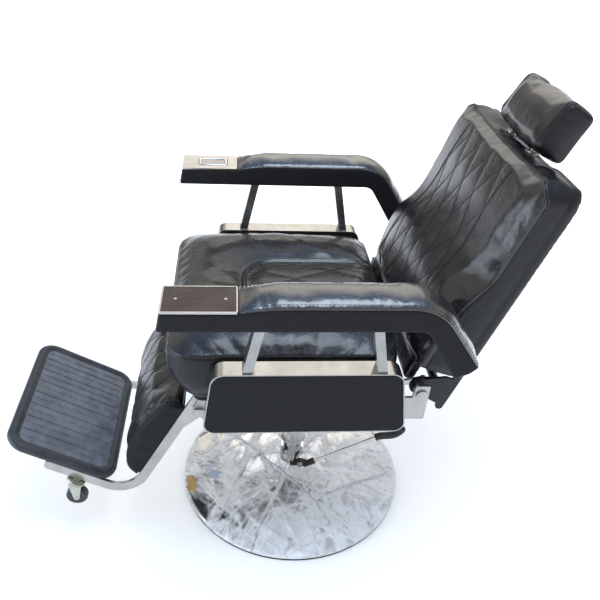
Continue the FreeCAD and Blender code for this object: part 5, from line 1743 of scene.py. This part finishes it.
@dataclass
class ArmRest:
    """One arm: covered body and a padded strip that follows its top, sewn along both edges."""

    wardrobe: Wardrobe
    side: Side
    inner: float = 0.2755
    outer: float = 0.3635
    plate_rear: float = -0.153
    level_end: float = 0.020
    seam_z: float = 0.787
    knee: tuple[float, float] = (0.205, 0.787)
    tail: tuple[float, float] = (0.300, 0.654)
    knee_round: float = 0.095
    crown: float = 0.013
    tuck: float = 0.0015
    step: float = 0.004
    across: int = 26
    stitch_rows: tuple[float, float] = (0.0026, 0.0088)

    def stations(self) -> np.ndarray:
        """Lower edge of the pad from front to tail, as (y, z, crown) rows a step apart.

        Returns:
            The rows.
        """
        knee, tail = np.array(self.knee), np.array(self.tail)
        before = np.array([-1.0, 0.0])
        after = (tail - knee) / np.linalg.norm(tail - knee)
        half = math.acos(before.dot(after)) / 2
        reach = self.knee_round / math.tan(half)
        centre = knee + (before + after) / np.linalg.norm(before + after) * (self.knee_round / math.sin(half))
        start, end = knee + before * reach, knee + after * reach
        a0, a1 = (math.atan2(*(point - centre)[::-1]) for point in (start, end))
        rows = [(self.plate_rear, self.seam_z - 0.008, 0.002),
                (self.plate_rear + 0.028, self.seam_z - 0.004, 0.009),
                (self.plate_rear + 0.07, self.seam_z, self.crown),
                (self.level_end, self.seam_z, self.crown)]
        rows += [(*(centre + self.knee_round * np.array([math.cos(a), math.sin(a)])), self.crown)
                 for a in np.linspace(a0, a1, 14)]
        rows += [(*((end + tail * 2) / 3), self.crown - 0.003), (*tail, 0.004)]
        line = even_line(np.array(rows), self.step)
        for _ in range(4):
            line[1:-1] = (line[:-2] + 2 * line[1:-1] + line[2:]) / 4
        return line

    def ups(self, line: np.ndarray) -> np.ndarray:
        """Unit (y, z) directions away from the arm along its top.

        Args:
            line: Rows that begin with y and z.

        Returns:
            One row for each of them.
        """
        ahead = np.gradient(line[:, :2], axis=0)
        ahead /= np.linalg.norm(ahead, axis=1, keepdims=True)
        return np.column_stack([-ahead[:, 1], ahead[:, 0]])

    def edge(self, x: float, lift: float) -> np.ndarray:
        """Seam line at one X, a little above the pad's lower edge.

        Args:
            x: The X.
            lift: How far above the edge.

        Returns:
            Rows of x, y, z in the chair's frame.
        """
        line = self.stations()[2:-2]
        rows = line[:, :2] + self.ups(line) * lift
        return np.column_stack([np.full(len(rows), x), rows])

    def pad(self) -> tuple[bpy.types.Object, np.ndarray]:
        """Pad as one closed mesh, full across its width and flat underneath.

        Returns:
            The pad, and how firmly each of its points is held while it is blown up.
        """
        line = self.stations()
        middle, half = (self.inner + self.outer) / 2, (self.outer - self.inner) / 2
        over = -np.cos(np.linspace(0.0, math.pi, self.across + 1))
        full = (1 - np.abs(over) ** 3) ** 0.6
        under = over[1:-1][::-1]
        points, held = [], []
        for (y, z, crown), (up_y, up_z) in zip(line, self.ups(line)):
            lift = np.concatenate([(crown + self.tuck) * full, np.zeros(len(under))]) - self.tuck
            x = self.side.value * (middle + half * np.concatenate([over, under]))
            points.append(np.column_stack([x, y + up_y * lift, z + up_z * lift]))
            held.append(np.concatenate([1 - smooth_steps(full, 0.0, 0.5), np.ones(len(under))]))
        size = len(points[0])
        faces = grid_faces(len(points), size, True, True)
        last = (len(points) - 1) * size
        faces += [tuple(reversed(range(size))), tuple(range(last, last + size))]
        if self.side is Side.RIGHT:
            faces = [tuple(reversed(face)) for face in faces]
        ends = np.zeros((len(points), size))
        ends[:3], ends[-3:] = 1.0, 1.0
        piece = mesh_piece("arm_pad_" + self.side.word + "_cover", np.vstack(points), faces)
        return piece, np.maximum(np.array(held), ends).ravel()

    def build(self) -> None:
        """Makes the arm's cover, its pad and the stitches."""
        word = self.side.word
        self.wardrobe.board("arm_body_" + word, "arm_cover_" + word, 0.0035, 3)
        piece, held = self.pad()
        cover = Cover(self.wardrobe, piece, "arm_pad_" + word, "seat", LEVEL, "arm_leather",
                      Puff(0.005), 0.7)
        cover.grow(lambda p, d: held, 0.0008)
        seams = []
        for x, sign in ((self.inner, -1), (self.outer, 1)):
            rows = [self.side.value * sign * row for row in self.stitch_rows]
            seams.append(Seam(self.edge(self.side.value * x, 0.001), rows=rows, stitch=Stitch.LONG))
        cover.tailor.rows("arm_pad_" + word, seams)
        cover.finish_up()


@dataclass
class SideBox:
    """Chrome band with a covered board in each face."""

    wardrobe: Wardrobe
    side: Side

    def build(self) -> None:
        """Covers both boards and polishes the band."""
        word = self.side.word
        for layer in ("outer", "inner"):
            node = layer + "_panel_" + word
            self.wardrobe.board(node, node + "_cover", 0.002, 2)
        self.wardrobe.dress_node("side_band_" + word, "dull_chrome")


@dataclass
class FootMat:
    """Ribbed rubber mat on the foot plate, drawn in the leg rest's frame."""

    wardrobe: Wardrobe
    half: float = 0.192
    rear: float = 0.057
    front: float = 0.321
    corner: float = 0.046
    bottom: float = -0.365
    top: float = -0.350
    rib_pitch: float = 0.0215
    groove: float = 0.0016
    groove_depth: float = 0.0034
    border: float = 0.025
    field_depth: float = 0.0042
    column: float = 0.0009
    margin: float = 0.0001

    def height(self, x: np.ndarray, inward: np.ndarray) -> np.ndarray:
        """Height of the mat's top: rounded rim, raised border and ribbed field.

        Args:
            x: Distances across.
            inward: Distances inside the outline.

        Returns:
            Heights above the mat's bottom.
        """
        thick = self.top - self.bottom
        crest = self.border * 0.46
        outer = np.sqrt(np.clip(1 - (1 - np.clip(inward / crest, 0, 1)) ** 2, 0, 1))
        roll = thick * (0.30 + 0.70 * outer)
        fall = smooth_steps(inward, crest, self.border) * self.field_depth
        inside = smooth_steps(inward, self.border, self.border + 0.003)
        place = (x / self.rib_pitch + 0.5) % 1.0 - 0.5
        deep = np.where(np.round(x / self.rib_pitch).astype(int) % 2 == 0, 1.0, 0.55)
        cut = np.exp(-((place * self.rib_pitch / self.groove) ** 2)) * self.groove_depth * deep
        end = smooth_steps(inward, self.border + 0.001, self.border + 0.007)
        return roll - fall - inside * (cut * end)

    def build(self) -> None:
        """Makes the mat, its field painted paler than its border as a painted sheen."""
        mat = self.sheet()
        self.wardrobe.fit(mat, "mat_rubber", "mat_rubber", "leg_rest")
        # The field gets the paler rubber as a painted sheen.
        mat.data.materials.append(self.wardrobe.built["painted_sheen_rubber"])
        middles = LEG.upright(np.array([face.center for face in mat.data.polygons]))
        field_part = self.outline_inward(middles[:, 0], middles[:, 1]) > self.border
        field_part &= middles[:, 2] > self.bottom + 0.003
        mat.data.polygons.foreach_set("material_index", field_part.astype(np.int32))
        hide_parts("foot_mat")

    def outline_inward(self, x: np.ndarray, y: np.ndarray) -> np.ndarray:
        """Distance inside the mat's rounded outline.

        Args:
            x: Distances across.
            y: Distances along.

        Returns:
            Distances, below 0 outside.
        """
        middle = -(self.front + self.rear) / 2
        reach = (self.front - self.rear) / 2
        return -beyond_corner(np.abs(x) - self.half + self.corner, np.abs(y - middle) - reach + self.corner,
                              self.corner)

    def sheet(self) -> bpy.types.Object:
        """Mat built from lines along Y, close enough together to hold the ribs.

        Returns:
            The mat.
        """
        columns = int(round(self.half / self.column))
        xs = np.linspace(-self.half + self.margin, self.half - self.margin, 2 * columns + 1)
        t = np.linspace(-1, 1, 91)
        t = np.sign(t) * (1 - (1 - np.abs(t)) ** 1.35)
        points = []
        middle = -(self.front + self.rear) / 2
        reach = (self.front - self.rear) / 2
        for x in xs:
            over = max(abs(x) - self.half + self.corner, 0.0)
            span = reach - self.corner + math.sqrt(max(self.corner ** 2 - over ** 2, 0.0))
            ys = middle + t * max(span - self.margin, self.margin)
            inward = self.outline_inward(np.full(len(ys), x), ys)
            heights = self.height(np.full(len(ys), x), np.maximum(inward, 0))
            points.append(np.column_stack([np.full(len(ys), x), ys, self.bottom + heights]))
        rows, cols = len(xs), len(t)
        top = np.vstack(points)
        under = top.copy()
        under[:, 2] = self.bottom
        count = len(top)
        faces = grid_faces(rows, cols)
        faces += [(count + a, count + d, count + c, count + b) for a, b, c, d in faces]
        rim = ([i * cols for i in range(rows)] + [(rows - 1) * cols + j for j in range(1, cols)]
               + [i * cols + cols - 1 for i in range(rows - 2, -1, -1)] + [j for j in range(cols - 2, 0, -1)])
        for i, a in enumerate(rim):
            b = rim[(i + 1) % len(rim)]
            faces.append((b, a, count + a, count + b))
        return mesh_piece("foot_mat_ribbed", LEG.world(np.vstack([top, under])), faces)


@dataclass
class BaseFilm:
    """Clear packing film, crumpled over the chrome base."""

    wardrobe: Wardrobe
    radius: float = 0.2915
    hole: float = 0.0325
    collar: float = 0.054
    climb: float = 0.026
    pleats: int = 17
    rim: float = 0.016
    hub: float = 0.036
    hub_radius: float = 0.078
    dish_swell: float = 0.022
    ridges: int = 120
    ridge_place: float = 0.28
    ridge_length: tuple[float, float] = (0.04, 0.20)
    ridge_width: tuple[float, float] = (0.004, 0.016)
    ridge_height: tuple[float, float] = (0.0012, 0.0065)
    ridge_bend: float = 4.0
    rings: int = 96
    spokes: int = 360
    pleat: float = 0.0016
    skirt: tuple[float, ...] = (0.003, 0.006, 0.009)
    gap: float = 0.0006
    turn_down: float = 0.012
    seed: int = 7
    tape_corners: tuple[tuple[float, float], ...] = (
        (0.0257, -0.2839), (0.0441, -0.2563), (0.0856, -0.2570), (0.0782, -0.2783))
    tape_cut: tuple[float, float] = (0.060, 0.028)
    tape_area: float = 0.00114
    tape_grid: tuple[int, int] = (34, 22)

    def dish(self, r: np.ndarray) -> np.ndarray:
        """Height of the dish under the film at distances from its middle."""
        t = np.clip((self.radius - r) / (self.radius - self.hub_radius), 0, 1)
        return self.rim + (self.hub - self.rim) * t + self.dish_swell * t * (1 - t)

    def crumple(self, x: np.ndarray, y: np.ndarray) -> np.ndarray:
        """Height of the film's folds above the dish: many straight ridges at random.

        Args:
            x: Distances across.
            y: Distances along.

        Returns:
            Heights above the dish.
        """
        rng = np.random.default_rng(self.seed)
        total = np.zeros_like(x)
        for _ in range(self.ridges):
            angle = rng.uniform(0, math.pi)
            cx, cy = rng.uniform(-self.ridge_place, self.ridge_place, 2)
            long, width = rng.uniform(*self.ridge_length), rng.uniform(*self.ridge_width)
            u = (x - cx) * math.cos(angle) + (y - cy) * math.sin(angle)
            v = -(x - cx) * math.sin(angle) + (y - cy) * math.cos(angle)
            bend = v + rng.uniform(-self.ridge_bend, self.ridge_bend) * u * u
            total = np.maximum(total, rng.uniform(*self.ridge_height) * np.exp(-np.abs(bend) / width)
                               * np.clip(1 - (u / long) ** 2, 0, 1))
        return total

    def build(self) -> None:
        r = np.concatenate([np.linspace(self.hole, self.radius, self.rings),
                            np.full(len(self.skirt), self.radius)])
        drop = np.concatenate([np.zeros(self.rings), self.skirt])
        angle = np.arange(self.spokes) * (2 * math.pi / self.spokes)
        rr, aa = np.meshgrid(r, angle, indexing="ij")
        x, y = rr * np.cos(aa), rr * np.sin(aa)
        fall = smooth_steps(rr, self.radius - self.turn_down, self.radius)
        near = np.clip((self.collar - rr) / (self.collar - self.hole), 0.0, 1.0)
        pleat = self.pleat * (1 + np.sin(aa * self.pleats + 2.0 * np.sin(aa * 3))) * np.sqrt(near)
        z = self.dish(rr) + self.gap + self.crumple(x, y) * (1 - fall) - drop[:, None]
        z = z + self.climb * near ** 1.6 + pleat
        points = np.stack([x, y, z], axis=2).reshape(-1, 3)
        film = mesh_piece("base_film", points, grid_faces(len(r), self.spokes, True))
        self.wardrobe.fit(film, "clear_film", "chrome", "base")
        self.tape()

    def tape(self) -> None:
        """Lays a torn scrap of paper tape on the film's folds."""
        u, v = np.meshgrid(*(np.linspace(0, 1, count) for count in self.tape_grid), indexing="ij")
        shares = ((1 - u) * (1 - v), (1 - u) * v, u * v, u * (1 - v))
        x, y = (sum(corner[axis] * share for corner, share in zip(self.tape_corners, shares))
                for axis in range(2))
        torn = 0.0010 * np.sin(v * 23) + 0.0006 * np.sin(v * 61 + 1)
        x = x + torn * np.abs(2 * u - 1) ** 8
        lift = spread(spread(self.crumple(x, y), 4, np.max), 8, np.mean)
        z = self.dish(np.hypot(x, y)) + 2 * self.gap + lift
        points = np.stack([x, y, z], axis=2).reshape(-1, 3)
        scrap = mesh_piece("tape_scrap", points, grid_faces(*self.tape_grid))
        self.wardrobe.fit(scrap, "kraft_tape", "plywood", "base")


@dataclass
class Hardware:
    """Finishes of every solid that shows as it is."""

    wardrobe: Wardrobe
    finishes: dict[str, tuple[str, ...]] = field(default_factory=lambda: {
        "polished_chrome": ("base_disc", "pump_rod", "pump_body", "column_sleeve"),
        "dull_chrome": ("ashtray_plate", "plate_frame"),
        "satin_chrome": ("ashtray_lid", "arm_posts_left", "arm_posts_right", "headrest_posts"),
        "bare_steel": ("base_bolts", "lever_pin", "pump_plunger", "pump_ram", "thrust_washer", "swivel_nut",
                       "pivot_bushes", "plate_screws", "post_guides", "ashtray_bin"),
        "bar_steel": ("leg_bar_left", "leg_bar_right", "leg_cross", "foot_tray", "hinge_plate_left",
                      "hinge_plate_right", "sync_links", "pivot_pins"),
        "zinc": ("caster_fork_left", "caster_fork_right"),
        "grey_paint": ("swivel_plate", "seat_frame"),
        "black_paint": ("base_weight", "pump_fork", "back_frame", "lock_quadrant", "lock_handle"),
        "black_rubber": ("base_ring", "pump_grip"),
        "wheel_rubber": ("caster_wheel_left", "caster_wheel_right"),
        "mahogany": ("wood_plate",),
        "side_leather": ("seat_board", "calf_board", "back_board"),
    })
    rim_corner: float = 0.004
    rim_section: tuple[tuple[float, float], ...] = (
        (0.0008, -0.0001), (0.0012, 0.0015), (0.0030, 0.0020), (0.0062, 0.0015), (0.0070, -0.0001))
    race_sides: int = 40
    race_section: tuple[tuple[float, float], ...] = (
        (0.0, -0.001), (-0.0005, 0.0012), (-0.0022, 0.0022), (-0.0040, 0.0012), (-0.0046, -0.0010),
        (-0.0054, 0.0012), (-0.0072, 0.0020), (-0.0088, 0.0010), (-0.0090, -0.002))

    def build(self) -> None:
        """Dresses the solids."""
        for finish, nodes in self.finishes.items():
            for node in nodes:
                self.wardrobe.dress_node(node, finish)
        self.lid_rim()
        for side in Side:
            self.races(side)

    def lid_rim(self) -> None:
        """Bright raised rim round the ashtray's lid."""
        points = coordinates(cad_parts["ashtray_lid"].data)
        low, high = points.min(0), points.max(0)
        centre, half = (low + high) / 2, (high - low) / 2
        loops = []
        for inset, lift in self.rim_section:
            loop = rounded_loop(half[0] - inset, inset - half[1], half[1] - inset, self.rim_corner,
                                self.rim_corner, 5)
            loops.append(np.column_stack([loop + centre[:2], np.full(len(loop), high[2] + lift)]))
        self.wardrobe.fit(ring_piece("ashtray_lid_rim", loops), "polished_chrome", "chrome", "ashtray_lid")

    def races(self, side: Side) -> None:
        """Two rolled ball races round a caster's swivel cup.

        Args:
            side: Side of the caster.
        """
        points = LEG.upright(coordinates(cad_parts["caster_fork_" + side.word].data))
        top = points[:, 2].max()
        cup = points[points[:, 2] > top - 0.001]
        centre, radius = (cup.min(0) + cup.max(0)) / 2, (cup[:, 0].max() - cup[:, 0].min()) / 2
        angle = np.arange(self.race_sides) * (2 * math.pi / self.race_sides)
        loops = [LEG.world(np.column_stack([centre[0] + (radius + swell) * np.cos(angle),
                                            centre[1] + (radius + swell) * np.sin(angle),
                                            np.full(len(angle), top + height)]))
                 for height, swell in self.race_section]
        race = ring_piece("caster_race_" + side.word, loops)
        self.wardrobe.fit(race, "zinc", "zinc", "caster_fork_" + side.word)


@dataclass
class Studio:
    """Pale floor, soft lights, white surroundings and the camera."""

    eye: Point = (1.345, -0.163, 1.445)
    right: Point = (0.0791, 0.9952, 0.0574)
    forward: Point = (-0.8344, 0.0976, -0.5424)
    focus_px: float = 687.54
    frame_px: float = 600.0
    floor_colour: Colour = (0.93, 0.93, 0.93)
    near_glow: float = 0.30
    near_start: float = 0.9
    near_stop: float = 2.4
    floor_reach: float = 40.0
    sensor: float = 36.0
    aim: Point = (0.0, 0.0, 0.6)
    sky: tuple[tuple[float, Colour], ...] = ((0.0, (1.0, 1.0, 1.0)), (0.05, (0.80, 0.80, 0.80)),
                                             (0.12, (0.16, 0.165, 0.155)), (0.27, (0.20, 0.20, 0.185)),
                                             (0.37, (1.0, 0.96, 0.88)), (0.61, (0.96, 0.94, 0.88)),
                                             (0.74, (0.24, 0.36, 0.58)), (1.0, (0.36, 0.58, 1.0)))
    lamps: tuple[tuple[str, Point, float, float, Colour], ...] = (
        ("high_box", (0.5, 0.3, 3.3), 1.3, 42.0, (0.80, 0.90, 1.0)),
        ("far_box", (-2.6, 0.6, 2.7), 3.0, 26.0, (1.0, 0.95, 0.87)),
        ("front_box", (0.9, -2.6, 0.75), 1.8, 40.0, (0.74, 0.86, 1.0)))

    def floor(self) -> None:
        """Adds the floor, as white as the background where no shadow falls."""
        reach = self.floor_reach
        corners = [(-reach, -reach, 0), (reach, -reach, 0), (reach, reach, 0), (-reach, reach, 0)]
        plane = mesh_piece("floor", corners, [(0, 1, 2, 3)])
        n = Nodes("floor_white")
        diffuse = n.add("ShaderNodeBsdfDiffuse")
        diffuse.inputs["Color"].default_value = (*self.floor_colour, 1.0)
        glow = n.add("ShaderNodeEmission")
        away = n.add("ShaderNodeVectorMath", operation="LENGTH")
        n.link(n.place, away.inputs[0])
        paler = n.span(away.outputs["Value"], self.near_glow, 1.0, self.near_start, self.near_stop)
        n.link(paler, glow.inputs["Color"])
        self.seen(n, glow.inputs["Strength"])
        total = n.add("ShaderNodeAddShader")
        n.link(diffuse.outputs["BSDF"], total.inputs[0])
        n.link(glow.outputs["Emission"], total.inputs[1])
        n.link(total.outputs["Shader"], n.output.inputs["Surface"])
        plane.data.materials.append(n.material)

    def seen(self, n: Nodes, target: bpy.types.NodeSocket) -> None:
        """Feeds a strength of 1 that only the camera, mirrors and glass see.

        Args:
            n: The material's nodes.
            target: Socket that takes the strength.
        """
        rays = n.add("ShaderNodeLightPath")
        total = rays.outputs["Is Camera Ray"]
        for kind in ("Is Glossy Ray", "Is Transmission Ray"):
            either = n.add("ShaderNodeMath", operation="MAXIMUM")
            n.link(total, either.inputs[0])
            n.link(rays.outputs[kind], either.inputs[1])
            total = either.outputs["Value"]
        n.link(total, target)

    def world(self) -> None:
        """Sets the surroundings: white to the camera, a soft sky over a white horizon to the object."""
        world = bpy.data.worlds.new("studio")
        bpy.context.scene.world = world
        world.use_nodes = True
        tree = world.node_tree
        tree.nodes.clear()
        output, sky, white, mix, rays, place, parts, ramp = (tree.nodes.new("ShaderNode" + kind) for kind in (
            "OutputWorld", "Background", "Background", "MixShader", "LightPath", "TexCoord", "SeparateXYZ",
            "ValToRGB"))
        white.inputs["Color"].default_value = (1, 1, 1, 1)
        stops = ramp.color_ramp.elements
        stops[0].position, stops[0].color = 0.0, (*self.sky[0][1], 1)
        stops[1].position, stops[1].color = 1.0, (*self.sky[-1][1], 1)
        for position, colour in self.sky[1:-1]:
            stops.new(position).color = (*colour, 1)
        for source, target in ((place.outputs["Generated"], parts.inputs["Vector"]),
                               (parts.outputs["Z"], ramp.inputs["Fac"]),
                               (ramp.outputs["Color"], sky.inputs["Color"]),
                               (rays.outputs["Is Camera Ray"], mix.inputs["Fac"]),
                               (sky.outputs["Background"], mix.inputs[1]),
                               (white.outputs["Background"], mix.inputs[2]),
                               (mix.outputs["Shader"], output.inputs["Surface"])):
            tree.links.new(source, target)

    def lamp(self, name: str, place: Point, size: float, watts: float, colour: Colour) -> None:
        """Adds one soft square lamp that faces the chair.

        Args:
            name: Name of the lamp.
            place: Where it hangs.
            size: Length of its sides.
            watts: Its power.
            colour: Its colour.
        """
        data = bpy.data.lights.new(name, "AREA")
        data.shape = "SQUARE"
        data.size = size
        data.energy = watts
        data.color = colour
        lamp = bpy.data.objects.new(name, data)
        bpy.context.scene.collection.objects.link(lamp)
        lamp.location = place
        lamp.rotation_euler = (Vector(self.aim) - Vector(place)).to_track_quat("-Z", "Y").to_euler()

    def camera(self) -> None:
        """Adds the camera at the photograph's place."""
        data = bpy.data.cameras.new("camera")
        data.sensor_fit = "HORIZONTAL"
        data.sensor_width = self.sensor
        data.lens = self.sensor * self.focus_px / self.frame_px
        camera = bpy.data.objects.new("camera", data)
        bpy.context.scene.collection.objects.link(camera)
        right, forward = Vector(self.right).normalized(), Vector(self.forward).normalized()
        up = right.cross(forward).normalized()
        right = forward.cross(up).normalized()
        turn = Matrix((right, up, -forward)).transposed()
        camera.matrix_world = Matrix.Translation(Vector(self.eye)) @ turn.to_4x4()
        bpy.context.scene.camera = camera

    def build(self) -> None:
        """Sets up the whole studio."""
        bpy.context.scene.view_settings.view_transform = "Standard"
        self.floor()
        self.world()
        for name, place, size, watts, colour in self.lamps:
            self.lamp(name, place, size, watts, colour)
        self.camera()


def main() -> None:
    """Builds every sub-assembly in order."""
    logging.basicConfig(level=logging.INFO, format="%(name)s %(message)s")
    wardrobe = Wardrobe()
    Studio().build()
    parts = [Hardware(wardrobe), BaseFilm(wardrobe), FootMat(wardrobe), SeatCushion(wardrobe),
             BackCushion(wardrobe), Headrest(wardrobe), CalfPad(wardrobe)]
    for side in Side:
        parts += [ArmRest(wardrobe, side), SideBox(wardrobe, side)]
    for part in parts:
        part.build()
        log.info("%s built", type(part).__name__)


if __name__ == "__main__":
    main()
